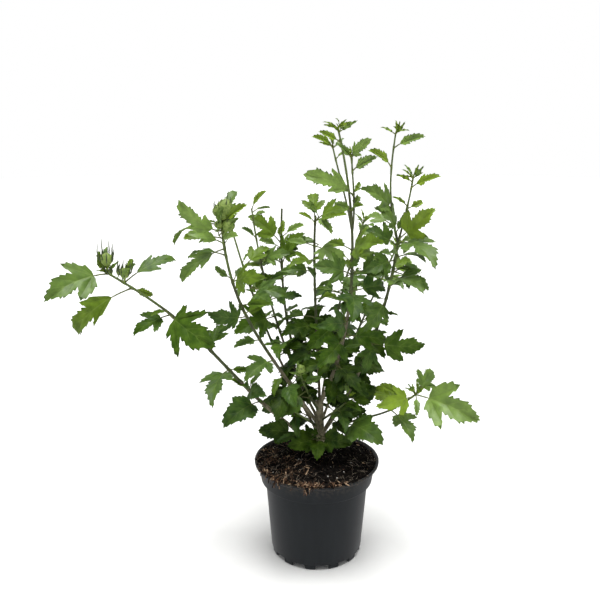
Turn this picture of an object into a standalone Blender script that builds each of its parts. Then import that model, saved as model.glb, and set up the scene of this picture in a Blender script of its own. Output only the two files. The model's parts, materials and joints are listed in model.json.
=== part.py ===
"""A young hibiscus shrub in its round nursery pot: pot, soil, trunk, boughs and leafy shoots.

Metres, +Z up. The origin is the middle of the pot's underside, and the shrub's front faces -Y.
A stem or leaf is laid out by its heading, degrees in plan with 0 along +X and 90 along +Y, and
by its lean from upright (stems) or its rise above the level (leaves).
"""

import math
import random
from collections import namedtuple

import bmesh
import bpy
from mathutils import Matrix, Vector
from mathutils.bvhtree import BVHTree

GAP = 0.0003  # left between neighbouring pieces
FACET_ALLOWANCE = 0.0002  # more where a faceted limb is cut, or meets the next piece at an angle

# The pot, of thin moulded plastic.
POT_HEIGHT = 0.134
WALL = 0.0014
LIP_RADIUS = 0.085
LIP_DEPTH = 0.003
COLLAR_TOP = 0.127
COLLAR_TOP_RADIUS = 0.079
COLLAR_FOOT_RADIUS = 0.0763
COLLAR_FOOT = 0.1065
BODY_TOP_RADIUS = 0.0703
BODY_FOOT_RADIUS = 0.0628
FOOT_HEIGHT = 0.0065
FOOT_COUNT = 12
FOOT_ARC = 14.0  # degrees of the ring that one foot takes
FOOT_DEPTH = 0.007
FOOT_INSET = 0.0002  # of a foot's face from the body's, at its top
FOOT_DRAFT = 0.0006  # more at its sole
FIRST_FOOT = -98.8  # degrees in plan
PAD_RADIUS = 0.014
DRAIN_RADIUS = 0.005
DRAIN_RING = 0.036
DRAIN_COUNT = 6
POT_SEGMENTS = 48
FOOT_SEGMENTS = 3
PAD_SEGMENTS = 24
DRAIN_SEGMENTS = 12

# The soil, heaped to the rim round the trunk's foot.
SOIL_CROWN = 0.1427
SOIL_EDGE = 0.1305
SOIL_SEGMENTS = 24
SOIL_RINGS = (0.88, 0.72, 0.54, 0.36, 0.18)  # shares of the way from the trunk to the edge
SOIL_RIPPLE = 0.0016
SOIL_WAVES = ((1.0, 95, 120, 1.3), (0.6, 210, -160, 0.0))  # strength, radians a metre in x, y, start
SOIL_LEVEL = 0.014  # from the trunk's axis, where the soil is level
SOIL_FADE = 0.02  # over which its ripples rise to their full height
SOIL_EDGE_FADE = 0.12  # of its radius, over which they die out again

# The trunk.
TRUNK_FOOT = Vector((0.004, 0.012, 0.143))
TRUNK_LEAN = Vector((0.0, -0.05, 1.0))
TRUNK_HEIGHT = 0.076
TRUNK_RADIUS = 0.0070
TRUNK_TOP_RADIUS = 0.0046
FLARE = 0.0042
FLARE_HEIGHT = 0.014
ROOT_COUNT = 5
ROOT_SHARE = 0.25  # of the flare that comes and goes between the roots
CROWN_SHARE = 0.75  # of the trunk's radius, at its rounded top
TRUNK_CROWDING = 1.4  # gathers its rings towards the flare
TRUNK_RINGS = 9
TRUNK_SIDES = 12

# A stem: its foot is a height on the trunk above the soil, or a share of the stem it springs from.
# Heading, lean and radius are given at its foot and tip, and sway bends it to and fro between. Up
# to bare it is a bough, and beyond that the stem of a leafy shoot, which the leaf rule dresses
# from its foot to ruled.
Stem = namedtuple("Stem", "parent foot heading lean sway length radius bare ruled")
STEMS = {
    "arch": Stem(None, 0.004, (-158, -169), (43, 49), 7, 0.382, (0.0030, 0.0013), 0.27, 0.0),
    "left": Stem(None, 0.034, (-159, -160), (40, 9), -5, 0.320, (0.0026, 0.0015), 0.20, 0.0),
    "left_back": Stem(None, 0.020, (160, 142), (33, 19), 0, 0.325, (0.0020, 0.0012), 0.30, 0.42),
    "back_left": Stem(None, 0.040, (146, 118), (36, 17), 0, 0.315, (0.0020, 0.0012), 0.30, 0.52),
    "cut_back": Stem(None, 0.056, (135, 82), (45, 10), 0, 0.300, (0.0021, 0.0015), 0.28, 0.50),
    "cut_middle": Stem(None, 0.062, (92, 113), (30, -7), 0, 0.265, (0.0021, 0.0015), 0.28, 0.50),
    "back_right": Stem(None, 0.046, (75, 45), (26, 28), 0, 0.285, (0.0019, 0.0011), 0.24, 0.80),
    "right_back": Stem(None, 0.032, (49, 35), (32, 34), 0, 0.280, (0.0019, 0.0011), 0.24, 0.66),
    "right": Stem(None, 0.016, (-28, 23), (33, 7), 0, 0.300, (0.0026, 0.0017), 0.32, 0.0),
    "low_right": Stem(None, 0.008, (-27, -20), (51, 59), -12, 0.165, (0.0018, 0.0011), 0.24, 0.0),
    "leader": Stem(None, 0.068, (-42, -54), (29, -22), 0, 0.378, (0.0026, 0.0012), 0.12, 0.30),
    "leader_twig_left": Stem("leader", 0.66, (98, 131), (41, 20), 0, 0.118, (0.0014, 0.0010), 0.0, 0.0),
    "leader_twig_front": Stem("leader", 0.66, (-145, -101), (-10, 24), 0, 0.095, (0.0014, 0.0010), 0.0, 0.0),
    "right_tall": Stem("right", 0.985, (161, 24), (16, 8), 0, 0.139, (0.0016, 0.0010), 0.0, 0.0),
    "right_short": Stem("right", 0.985, (-46, -80), (17, 20), 0, 0.088, (0.0015, 0.0010), 0.0, 0.0),
    "sprig_front": Stem(None, 0.008, (-95, -95), (46, 58), 0, 0.028, (0.0016, 0.0012), 0.0, 0.0),
    "sprig_corner": Stem(None, 0.018, (-136, -160), (66, 72), 0, 0.040, (0.0016, 0.0012), 0.0, 0.0),
    "sprig_low_left": Stem(None, 0.031, (-132, -148), (52, 50), 0, 0.060, (0.0017, 0.0012), 0.0, 0.0),
    "sprig_low_right": Stem(None, 0.041, (-46, -40), (52, 46), 0, 0.058, (0.0017, 0.0012), 0.0, 0.0),
    "sprig_bud": Stem(None, 0.055, (-128, -140), (40, 22), 0, 0.076, (0.0018, 0.0012), 0.0, 0.0),
    "sprig_back": Stem(None, 0.012, (112, 120), (58, 50), 0, 0.070, (0.0017, 0.0012), 0.0, 0.0),
    "sprig_back_right": Stem(None, 0.016, (58, 48), (58, 50), 0, 0.066, (0.0017, 0.0012), 0.0, 0.0),
}
PATH_STEPS = 32
BOUGH_RINGS = 7
BOUGH_SIDES = 8
SHOOT_RING_SPACING = 0.03
FEWEST_SHOOT_RINGS = 4
SHOOT_SIDES = 5

# The leaves that shape the outline: share of the stem, heading, rise, length with stalk, and
# the roll that some have beyond what turns their faces to the light.
Leaf = namedtuple("Leaf", "share heading rise length roll", defaults=(0,))
MARKED = {
    "arch": [
        (0.98, -142, -13, 0.086, 15), (0.895, -180, -39, 0.098), (0.925, 30, 19, 0.074),
        (0.765, -30, -26, 0.084, -10), (0.745, -148, -21, 0.055), (0.56, 70, 30, 0.050),
        (0.465, -104, -17, 0.076), (0.36, -60, 10, 0.048), (0.30, -136, -13, 0.068),
        (0.985, 100, 70, 0.034), (0.985, -160, 72, 0.030), (0.985, -20, 68, 0.026),
        (0.56, 60, 62, 0.034), (0.93, -60, 40, 0.034),
    ],
    "left": [
        (0.97, -137, 33, 0.076, 48), (0.97, 60, 55, 0.059), (0.99, 160, -20, 0.075, -55),
        (0.90, -150, -30, 0.070), (0.92, -145, 20, 0.050), (0.92, -65, 20, 0.050),
        (0.76, -45, 15, 0.064), (0.61, -145, 13, 0.058, 50), (0.49, -135, 0, 0.045), (0.98, -80, 50, 0.040),
        (0.38, -125, -8, 0.063), (0.25, -108, -35, 0.060), (0.872, -165, 4, 0.052, -50),
        (0.30, -110, -20, 0.042), (0.94, -160, 4, 0.050), (0.99, -20, 40, 0.045),
        (0.66, -30, 10, 0.046),
    ],
    "left_back": [
        (0.80, 20, 55, 0.022), (0.78, 40, 25, 0.055), (0.66, -60, 0, 0.060), (0.69, -35, -12, 0.055),
        (0.52, 60, 10, 0.055), (0.72, -110, -20, 0.040),
    ],
    "back_left": [
        (0.99, -40, 48, 0.042), (0.95, -55, 25, 0.036), (0.98, 40, 10, 0.034, 40),
        (0.86, -135, 35, 0.034), (0.76, -25, 25, 0.050), (0.70, 100, 10, 0.060), (0.58, -20, 10, 0.050),
        (0.66, -10, 22, 0.046),
    ],
    "cut_back": [
        (0.83, -170, 40, 0.065), (0.81, 155, 15, 0.040), (0.78, -15, 28, 0.056),
        (0.86, 25, 25, 0.042), (0.74, 175, 10, 0.050),
        (0.66, -160, -15, 0.050), (0.44, -60, -10, 0.055),
        (0.72, -10, 48, 0.062), (0.73, -135, 25, 0.045),
    ],
    "cut_middle": [
        (0.97, 95, 45, 0.051), (0.96, -140, 30, 0.034), (0.97, -28, 20, 0.062),
        (0.84, -45, -20, 0.060), (0.76, -135, 0, 0.050), (0.64, -115, 50, 0.040),
        (0.61, -30, 30, 0.032), (0.97, -10, 12, 0.046), (0.99, -60, -20, 0.046),
        (0.84, 160, 5, 0.042), (0.42, -150, -5, 0.058), (0.30, -150, -20, 0.052), (0.56, 30, -5, 0.045),
        (0.70, -165, 5, 0.050),
    ],
    "leader": [
        (0.985, -20, 30, 0.028), (0.95, -160, 26, 0.033), (0.73, 60, 35, 0.030),
        (0.73, -130, 20, 0.036), (0.73, -65, 20, 0.032), (0.60, 130, 5, 0.046),
        (0.59, -60, 20, 0.070), (0.46, -90, -25, 0.060), (0.46, 35, 0, 0.060),
        (0.34, -130, 12, 0.062), (0.18, -60, -20, 0.060), (0.52, -165, 15, 0.054),
        (0.40, 100, 0, 0.055), (0.52, 20, 10, 0.055), (0.30, 10, -10, 0.062),
    ],
    "leader_twig_left": [(0.98, -145, 26, 0.037), (0.86, -40, 25, 0.027)],
    "leader_twig_front": [
        (0.95, -65, 30, 0.050), (0.79, -50, 26, 0.045), (0.46, -150, 22, 0.078), (0.95, -120, 35, 0.032),
    ],
    "right": [
        (0.98, -60, -12, 0.080), (0.92, -45, 3, 0.050, 30), (0.87, 30, -5, 0.044),
        (0.84, -15, -18, 0.038), (0.79, -66, 9, 0.080), (0.74, -130, -35, 0.060),
        (0.53, -40, 10, 0.073, -28), (0.51, 125, -15, 0.055), (0.91, -145, -10, 0.056),
        (0.67, -40, 8, 0.027), (0.54, -120, -52, 0.048), (0.97, 170, 25, 0.048),
        (0.86, -50, -14, 0.054),
    ],
    "back_right": [(0.93, -70, 25, 0.048), (0.90, 60, 15, 0.050)],
    "right_back": [
        (0.80, -60, 0, 0.055), (0.86, 30, 10, 0.050), (0.93, -120, 20, 0.046), (0.74, 120, 0, 0.055),
    ],
    "right_tall": [
        (0.86, -30, 22, 0.045), (0.68, -145, 34, 0.046), (0.27, -145, 35, 0.066),
        (0.07, -140, 45, 0.056, -20), (0.15, 135, 10, 0.050),
    ],
    "right_short": [
        (0.94, -155, 22, 0.027), (0.85, -45, 22, 0.046), (0.57, -155, 30, 0.028),
        (0.53, 35, 14, 0.030), (0.06, -30, 42, 0.064),
    ],
    "low_right": [
        (0.99, -35, -8, 0.092, -15), (0.96, -145, 0, 0.062), (0.74, -60, -25, 0.058),
        (0.99, 50, 32, 0.048), (0.31, -50, -1, 0.074), (0.84, 130, 5, 0.055), (0.90, 165, 28, 0.042),
        (0.99, -95, -35, 0.032),
    ],
    "sprig_front": [(0.95, -95, -10, 0.047), (0.80, -148, 2, 0.050), (0.90, -32, 6, 0.052)],
    "sprig_corner": [(0.95, -172, 8, 0.056), (0.80, -115, 8, 0.044)],
    "sprig_low_left": [
        (0.50, 165, 22, 0.038), (0.98, 140, 28, 0.046), (0.98, -80, -25, 0.046),
    ],
    "sprig_low_right": [
        (0.40, -20, 6, 0.054), (0.72, -78, -14, 0.050), (0.98, 20, 15, 0.052), (0.98, -65, 12, 0.046),
    ],
    "sprig_back": [(0.55, 150, 8, 0.045), (0.80, 95, 15, 0.055), (0.98, 180, 15, 0.045)],
    "sprig_back_right": [(0.60, 60, 10, 0.050), (0.95, 100, 20, 0.052), (0.95, -10, 30, 0.045)],
    "sprig_bud": [(0.42, 165, 5, 0.052), (0.62, -150, -10, 0.058), (0.82, -50, 25, 0.040)],
}
TUFTED = (
    "leader", "leader_twig_left", "leader_twig_front", "right_tall", "right_short", "back_right",
    "right_back", "left_back", "low_right", "arch", "sprig_bud",
)
TUFT_SHARE = 0.985  # where on its stem a tuft sits
TUFT_COUNT = 5
TUFT_LENGTH = 0.021
TUFT_SIZES = (0.7, 1.15)
TUFT_RISES = (20, 55)
TUFT_ROLL = 20

# Flower buds: stem, share of it, heading, rise and length.
BUDS = (
    ("arch", 0.925, -65, 66, 0.022), ("left", 0.99, 20, 62, 0.026), ("left", 0.95, -35, 50, 0.022),
    ("sprig_bud", 0.97, -90, 60, 0.016),
)
BUD_PROFILE = ((0.0, 0.06), (0.40, 0.07), (0.52, 0.24), (0.72, 0.30), (0.90, 0.20), (1.0, 0.04))
BUD_SIDES = 6

# The leaf rule: a spread is the most that a leaf departs from the rule, either way.
INTERNODE = 0.0225
FIRST_JOINT = 0.02  # of the stem, above its bare stretch
TURN = 137.5  # degrees from one leaf to the next round the stem
TURN_SPREAD = 15
LEAF_LENGTH = 0.080
LEAF_SIZES = (0.8, 1.08)
TIP_SHRINKAGE = 0.5  # of the length, for a leaf at the stem's tip
FOOT_RISE = -28
TIP_RISE = 17
RISE_SPREAD = 16
ROLL_SPREAD = 35
OPEN = 0.095  # under this height above the soil no leaf of the rule grows in across the trunk
INWARD = 95  # degrees from straight out, beyond which a leaf grows in
AXILLARY_CHANCE = 0.6  # of a second, smaller leaf at a joint
AXILLARY_TURNS = (45, 80)
AXILLARY_RISE = 20
AXILLARY_SIZES = (0.45, 0.65)
AXILLARY_ROLL = 30
AXILLARY_STEP = 0.01
LIGHT = Vector((0.0, -0.70, 0.50))  # where the shrub's light comes from
OUTWARD = 0.30  # how far the leaves turn their faces out from the trunk as well
LOW = 0.055  # under this height above the soil the leaves are round
YOUNG = 0.047  # under this length a leaf is narrow
WIDE_EVERY = 4
SEED = 11

# A leaf's place is kept clear of its neighbours, by one of these turns and lifts if need be.
CLEARANCE = 0.0005
HIDDEN_STALK = 0.004  # of a stalk near its stem, where its neighbours may touch it
NUDGES = (
    (0, 0), (9, 0), (-9, 0), (0, 9), (0, -9), (18, 4), (-18, 4), (26, -8), (-26, -8), (0, 20), (0, -20),
)
NUDGED_SIZES = (1.0, 0.85)

# The leaf itself.
LEAF_THICKNESS = 0.02  # of the blade's length, along its middle
THINNEST_LEAF = 0.0011
STALK = 0.0008
STALK_SHARE = 0.26
TINY = 0.03  # under this length the stalk is short
TINY_STALK_SHARE = 0.2
LEAST_BEND = 22  # degrees that the midrib arches through, in the smallest leaf
BEND_GROWTH = 55  # more in a full-grown one
FULL_GROWN = 0.09

# Half outlines of the blade from its foot to its tip: along and across, as shares of its length.
FORMS = {
    "long": ((0.06, 0.17), (0.36, 0.33), (0.40, 0.16), (0.66, 0.17)),
    "wide": ((0.02, 0.26), (0.40, 0.46), (0.44, 0.21), (0.68, 0.21)),
    "round": ((0.02, 0.26), (0.32, 0.40), (0.50, 0.32), (0.74, 0.22)),
    "young": ((0.12, 0.11), (0.42, 0.20), (0.50, 0.13), (0.70, 0.12)),
}
RIB_SHARES = (0.30, 0.62)
FOLD = 0.22  # rise of the rim over the midrib, as a share of its distance from it
SHARP_EDGE = 35  # degrees over which an edge is shaded sharp


def material(name, colour, roughness):
    """A plain finish of one colour."""
    made = bpy.data.materials.new(name)
    made.use_nodes = True
    shader = made.node_tree.nodes["Principled BSDF"]
    shader.inputs["Base Color"].default_value = (*colour, 1.0)
    shader.inputs["Roughness"].default_value = roughness
    shader.inputs["Metallic"].default_value = 0.0
    return made


def add_object(name, mesh, finish, collection=None):
    """The mesh as a named object with one finish."""
    mesh.materials.clear()
    mesh.materials.append(finish)
    made = bpy.data.objects.new(name, mesh)
    (collection or bpy.context.scene.collection).objects.link(made)
    return made


def shade(made):
    """Shades an object smooth across its shallow edges."""
    made.data.shade_smooth()
    made.data.set_sharp_from_angle(angle=math.radians(SHARP_EDGE))


def mesh_of(points, faces):
    """A mesh with its faces turned outward."""
    work = bmesh.new()
    corners = [work.verts.new(point) for point in points]
    for face in faces:
        work.faces.new([corners[i] for i in face])
    bmesh.ops.recalc_face_normals(work, faces=work.faces)
    mesh = bpy.data.meshes.new("solid")
    work.to_mesh(mesh)
    work.free()
    return mesh


def combine(made, others, operation):
    """Joins the others to the object, or cuts them from it, and removes them."""
    group = bpy.data.collections.new("group")
    bpy.context.scene.collection.children.link(group)
    for other in others:
        for home in list(other.users_collection):
            home.objects.unlink(other)
        group.objects.link(other)
    cut = made.modifiers.new("combine", "BOOLEAN")
    cut.operation = operation
    cut.operand_type = "COLLECTION"
    cut.collection = group
    cut.solver = "EXACT"
    graph = bpy.context.evaluated_depsgraph_get()
    graph.update()
    mesh = bpy.data.meshes.new_from_object(made.evaluated_get(graph))
    made.modifiers.remove(cut)
    made.data = mesh
    for other in others:
        bpy.data.objects.remove(other)
    bpy.data.collections.remove(group)


def turned(profile, segments, arc=360.0, start=0.0):
    """A closed mesh spun from a closed profile of (radius, height) points about the Z axis."""
    work = bmesh.new()
    ring = [work.verts.new((radius, 0.0, height)) for radius, height in profile]
    work.faces.new(ring)
    bmesh.ops.rotate(work, verts=work.verts, matrix=Matrix.Rotation(math.radians(start), 3, "Z"))
    full = arc == 360.0
    edges = list(work.edges)
    if full:
        bmesh.ops.delete(work, geom=list(work.faces), context="FACES_ONLY")
    bmesh.ops.spin(
        work, geom=edges if full else edges + list(work.faces), axis=(0, 0, 1), cent=(0, 0, 0),
        angle=math.radians(arc), steps=segments, use_merge=full,
    )
    bmesh.ops.remove_doubles(work, verts=work.verts, dist=0.00001)
    bmesh.ops.recalc_face_normals(work, faces=work.faces)
    mesh = bpy.data.meshes.new("turned")
    work.to_mesh(mesh)
    work.free()
    return mesh


def heading_vector(heading, rise):
    """The unit vector at a heading in plan and a rise above the level."""
    across = math.cos(math.radians(rise))
    plan = math.radians(heading)
    return Vector((across * math.cos(plan), across * math.sin(plan), math.sin(math.radians(rise))))


def inner_profile(clearance):
    """The pot's inside from the floor's edge to the lip, each point moved in by the clearance."""
    shelf = COLLAR_FOOT + WALL
    points = (
        (BODY_FOOT_RADIUS - WALL, FOOT_HEIGHT + WALL),
        (BODY_TOP_RADIUS - WALL, shelf),
        (COLLAR_FOOT_RADIUS - WALL, shelf),
        (COLLAR_TOP_RADIUS - WALL, COLLAR_TOP + 0.5 * WALL),
        (LIP_RADIUS - 2 * WALL, POT_HEIGHT),
    )
    return [(radius - clearance, height + clearance) for radius, height in points]


def pot(finish):
    """The pot: a tapered shell with a stepped collar and a flared lip, on feet and a middle pad."""
    outside = [
        (LIP_RADIUS, POT_HEIGHT),
        (LIP_RADIUS, POT_HEIGHT - LIP_DEPTH),
        (COLLAR_TOP_RADIUS, COLLAR_TOP),
        (COLLAR_FOOT_RADIUS, COLLAR_FOOT),
        (BODY_TOP_RADIUS, COLLAR_FOOT),
        (BODY_FOOT_RADIUS, FOOT_HEIGHT),
        (0.0, FOOT_HEIGHT),
        (0.0, FOOT_HEIGHT + WALL),
    ]
    shell = add_object("pot", turned(outside + inner_profile(0.0), POT_SEGMENTS), finish)
    inside_floor = FOOT_HEIGHT + 0.5 * WALL
    foot_section = [
        (BODY_FOOT_RADIUS - FOOT_DEPTH, 0.0),
        (BODY_FOOT_RADIUS - FOOT_INSET - FOOT_DRAFT, 0.0),
        (BODY_FOOT_RADIUS - FOOT_INSET, inside_floor),
        (BODY_FOOT_RADIUS - FOOT_DEPTH, inside_floor),
    ]
    feet = []
    for index in range(FOOT_COUNT):
        start = FIRST_FOOT + index * 360.0 / FOOT_COUNT - 0.5 * FOOT_ARC
        feet.append(add_object("foot", turned(foot_section, FOOT_SEGMENTS, FOOT_ARC, start), finish))
    pad_section = [(0.0, 0.0), (PAD_RADIUS, 0.0), (PAD_RADIUS, inside_floor), (0.0, inside_floor)]
    feet.append(add_object("pad", turned(pad_section, PAD_SEGMENTS), finish))
    combine(shell, feet, "UNION")
    below, above = FOOT_HEIGHT - WALL, FOOT_HEIGHT + 2 * WALL
    drain_section = [(0.0, below), (DRAIN_RADIUS, below), (DRAIN_RADIUS, above), (0.0, above)]
    drains = []
    for index in range(DRAIN_COUNT):
        drain = add_object("drain", turned(drain_section, DRAIN_SEGMENTS), finish)
        drain.location = DRAIN_RING * heading_vector(index * 360.0 / DRAIN_COUNT, 0.0)
        drains.append(drain)
    bpy.context.view_layer.update()
    combine(shell, drains, "DIFFERENCE")
    return shell


def soil_height(x, y):
    """Height of the soil: a low uneven mound, level where the trunk stands."""
    edge = LIP_RADIUS - 2 * WALL
    share = min(1.0, math.hypot(x, y) / edge)
    height = SOIL_CROWN + (SOIL_EDGE - SOIL_CROWN) * share**2
    from_trunk = math.hypot(x - TRUNK_FOOT.x, y - TRUNK_FOOT.y)
    fade = min(1.0, max(0.0, (from_trunk - SOIL_LEVEL) / SOIL_FADE))
    fade *= min(1.0, (1.0 - share) / SOIL_EDGE_FADE)
    for strength, in_x, in_y, start in SOIL_WAVES:
        height += fade * SOIL_RIPPLE * strength * math.sin(in_x * x + in_y * y + start)
    return height


def soil(finish):
    """The root ball that fills the pot, with its heaped top."""
    wall = inner_profile(GAP)
    (under_radius, under_height), (lip_radius, lip_height) = wall[-2:]
    up = (SOIL_EDGE - under_height) / (lip_height - under_height)
    wall[-1] = (under_radius + up * (lip_radius - under_radius) - GAP, SOIL_EDGE)
    points = [Vector((0.0, 0.0, wall[0][1]))]
    centre = Vector((TRUNK_FOOT.x, TRUNK_FOOT.y, 0.0))
    angles = [2 * math.pi * index / SOIL_SEGMENTS for index in range(SOIL_SEGMENTS)]
    for radius, height in wall:
        points += [Vector((radius * math.cos(a), radius * math.sin(a), height)) for a in angles]
    edge = wall[-1][0]
    for share in SOIL_RINGS:
        for angle in angles:
            rim = Vector((edge * math.cos(angle), edge * math.sin(angle), 0.0))
            spot = centre.lerp(rim, share)
            points.append(Vector((spot.x, spot.y, soil_height(spot.x, spot.y))))
    level = soil_height(centre.x, centre.y)
    for point in points[-SOIL_SEGMENTS:]:
        point.z = level
    points.append(Vector((centre.x, centre.y, level)))
    rings = (len(points) - 2) // SOIL_SEGMENTS
    faces = []
    for index in range(SOIL_SEGMENTS):
        after = (index + 1) % SOIL_SEGMENTS
        faces.append((0, 1 + index, 1 + after))
        for ring in range(rings - 1):
            low = 1 + ring * SOIL_SEGMENTS
            high = low + SOIL_SEGMENTS
            faces.append((low + index, low + after, high + after, high + index))
        last = 1 + (rings - 1) * SOIL_SEGMENTS
        faces.append((last + index, last + after, len(points) - 1))
    return add_object("soil", mesh_of(points, faces), finish)


def trunk_point(height):
    """The trunk's axis at a height above the soil."""
    return TRUNK_FOOT + TRUNK_LEAN * height


def trunk_radius(height, angle):
    """The trunk's radius: a taper, with root swellings that die out a little above the soil."""
    share = min(1.0, height / TRUNK_HEIGHT)
    radius = TRUNK_RADIUS + (TRUNK_TOP_RADIUS - TRUNK_RADIUS) * share
    flare = FLARE * math.exp(-height / FLARE_HEIGHT)
    return radius + flare * (1.0 - ROOT_SHARE + ROOT_SHARE * math.cos(ROOT_COUNT * angle))


def trunk_shape(extra):
    """Points and faces of the trunk, grown outward all round by extra."""
    points = []
    for ring in range(TRUNK_RINGS):
        height = (TRUNK_HEIGHT + extra) * (ring / (TRUNK_RINGS - 1)) ** TRUNK_CROWDING
        for side in range(TRUNK_SIDES):
            angle = 2 * math.pi * side / TRUNK_SIDES
            radius = trunk_radius(height, angle) + extra
            if ring == TRUNK_RINGS - 1:
                radius *= CROWN_SHARE
            points.append(trunk_point(height) + radius * Vector((math.cos(angle), math.sin(angle), 0.0)))
    return points, tube_faces(TRUNK_RINGS, TRUNK_SIDES)


def tube_faces(rings, sides):
    """Faces of a closed tube whose points run ring by ring."""
    faces = [tuple(reversed(range(sides)))]
    for ring in range(rings - 1):
        for side in range(sides):
            after = (side + 1) % sides
            low = ring * sides
            faces.append((low + side, low + after, low + sides + after, low + sides + side))
    last = (rings - 1) * sides
    faces.append(tuple(last + side for side in range(sides)))
    return faces


def tube(path, radii, sides):
    """Points and faces of a closed round limb along a path."""
    points = []
    across = None
    for index, centre in enumerate(path):
        along = (path[min(index + 1, len(path) - 1)] - path[max(index - 1, 0)]).normalized()
        across = along.orthogonal() if across is None else across - along * across.dot(along)
        across.normalize()
        other = along.cross(across)
        for side in range(sides):
            angle = 2 * math.pi * side / sides
            points.append(centre + radii[index] * (math.cos(angle) * across + math.sin(angle) * other))
    return points, tube_faces(len(path), sides)


def stem_path(name):
    """Points along a stem, which turns evenly from its first heading and lean to its last."""
    stem = STEMS[name]
    point = trunk_point(stem.foot) if stem.parent is None else along_stem(stem.parent, stem.foot)
    path = [point]
    step = stem.length / PATH_STEPS
    for index in range(PATH_STEPS):
        share = (index + 0.5) / PATH_STEPS
        heading = stem.heading[0] + (stem.heading[1] - stem.heading[0]) * share
        lean = stem.lean[0] + (stem.lean[1] - stem.lean[0]) * share
        lean += stem.sway * math.cos(2 * math.pi * share)
        path.append(path[-1] + step * heading_vector(heading, 90.0 - lean))
    return path


def along_stem(name, share):
    """The point at a share of a stem's length."""
    path = stem_path(name)
    place = min(max(share, 0.0), 1.0) * PATH_STEPS
    index = min(int(place), PATH_STEPS - 1)
    return path[index].lerp(path[index + 1], place - index)


def stem_radius(name, share):
    """The stem's radius at a share of its length."""
    first, last = STEMS[name].radius
    return first + (last - first) * share


def stem_piece(name, first, last, rings, sides):
    """Points and faces of a stretch of a stem."""
    shares = [first + (last - first) * ring / (rings - 1) for ring in range(rings)]
    path = [along_stem(name, share) for share in shares]
    return tube(path, [stem_radius(name, share) for share in shares], sides)


def leaf_axes(foot, leaf):
    """Unit vectors along a leaf, across it and out of its face, which turns to the light and outward."""
    along = heading_vector(leaf.heading, leaf.rise)
    outward = Vector((foot.x - TRUNK_FOOT.x, foot.y - TRUNK_FOOT.y, 0.0)).normalized()
    wanted = LIGHT + OUTWARD * outward
    face = (wanted - along * wanted.dot(along)).normalized()
    across = face.cross(along)
    cos, sin = math.cos(math.radians(leaf.roll)), math.sin(math.radians(leaf.roll))
    return along, across * cos - face * sin, face * cos + across * sin


def leaf_bend(leaf):
    """Radians that a leaf's midrib arches through from stalk to tip: old broad leaves hang most."""
    return math.radians(LEAST_BEND + BEND_GROWTH * min(1.0, leaf.length / FULL_GROWN))


def leaf_form(foot, leaf, index):
    """The form of a blade: narrow while young, round low on the shrub, and lobed between."""
    if leaf.length < YOUNG:
        return "young"
    if foot.z < TRUNK_FOOT.z + LOW:
        return "round"
    return "wide" if index % WIDE_EVERY == WIDE_EVERY - 1 else "long"


def leaf_shape(foot, leaf, form, extra, start=0.0):
    """Points and faces of a leaf with its stalk: one closed blade, folded along its midrib.

    The stalk starts at foot, inside the stem. The midrib is an arc, the rim is sharp and the
    blade is thickest along the midrib. Extra grows it outward all round, and start leaves off
    that length of the stalk.
    """
    along, across, face = leaf_axes(foot, leaf)
    bend = leaf_bend(leaf)
    radius = 0.5 * leaf.length / math.sin(0.5 * bend)
    stalk_share = STALK_SHARE if leaf.length > TINY else TINY_STALK_SHARE
    blade = leaf.length * (1.0 - stalk_share)
    half = 0.5 * max(THINNEST_LEAF, LEAF_THICKNESS * blade) + extra
    stalk = STALK + extra

    def place(share, side, out):
        """A point at a share of the whole leaf, moved sideways and out of the face."""
        angle = bend * (0.5 - share)
        run = radius * (math.sin(0.5 * bend) - math.sin(angle))
        lift = radius * (math.cos(angle) - math.cos(0.5 * bend))
        normal = face * math.cos(angle) - along * math.sin(angle)
        return foot + run * along + lift * face + side * across + out * normal

    points = []
    for share in (start / leaf.length, stalk_share):
        points += [place(share, stalk, 0), place(share, 0, stalk)]
        points += [place(share, -stalk, 0), place(share, 0, -stalk)]
    for u, w in FORMS[form]:
        share = stalk_share + (1.0 - stalk_share) * u
        side = w * blade + extra
        points += [place(share, side, FOLD * side), place(share, -side, FOLD * side)]
    for u in RIB_SHARES:
        share = stalk_share + (1.0 - stalk_share) * u
        points += [place(share, 0, half), place(share, 0, -half)]
    points.append(place(1.0 + extra / leaf.length, 0, 0))
    tip = len(points) - 1
    faces = [(0, 1, 2, 3)]
    for side in range(4):
        after = (side + 1) % 4
        faces.append((side, after, 4 + after, 4 + side))
    for side, stalk_side in ((0, 4), (1, 6)):
        rim = [stalk_side] + [8 + 2 * index + side for index in range(4)]
        for level, stalk_level in ((0, 5), (1, 7)):
            rib, rib_end = 16 + level, 18 + level
            faces.append((rim[0], stalk_level, rim[1]))
            faces.append((rim[1], stalk_level, rib))
            faces.append((rim[1], rib, rim[2]))
            faces.append((rim[2], rib, rim[3]))
            faces.append((rim[3], rib, rib_end))
            faces.append((rim[3], rib_end, rim[4]))
            faces.append((rim[4], rib_end, tip))
    return points, faces


def bud_shape(foot, heading, rise, length):
    """Points and faces of a flower bud on its short stalk."""
    way = heading_vector(heading, rise)
    path = [foot + way * length * share for share, _ in BUD_PROFILE]
    return tube(path, [width * length for _, width in BUD_PROFILE], BUD_SIDES)


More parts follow.
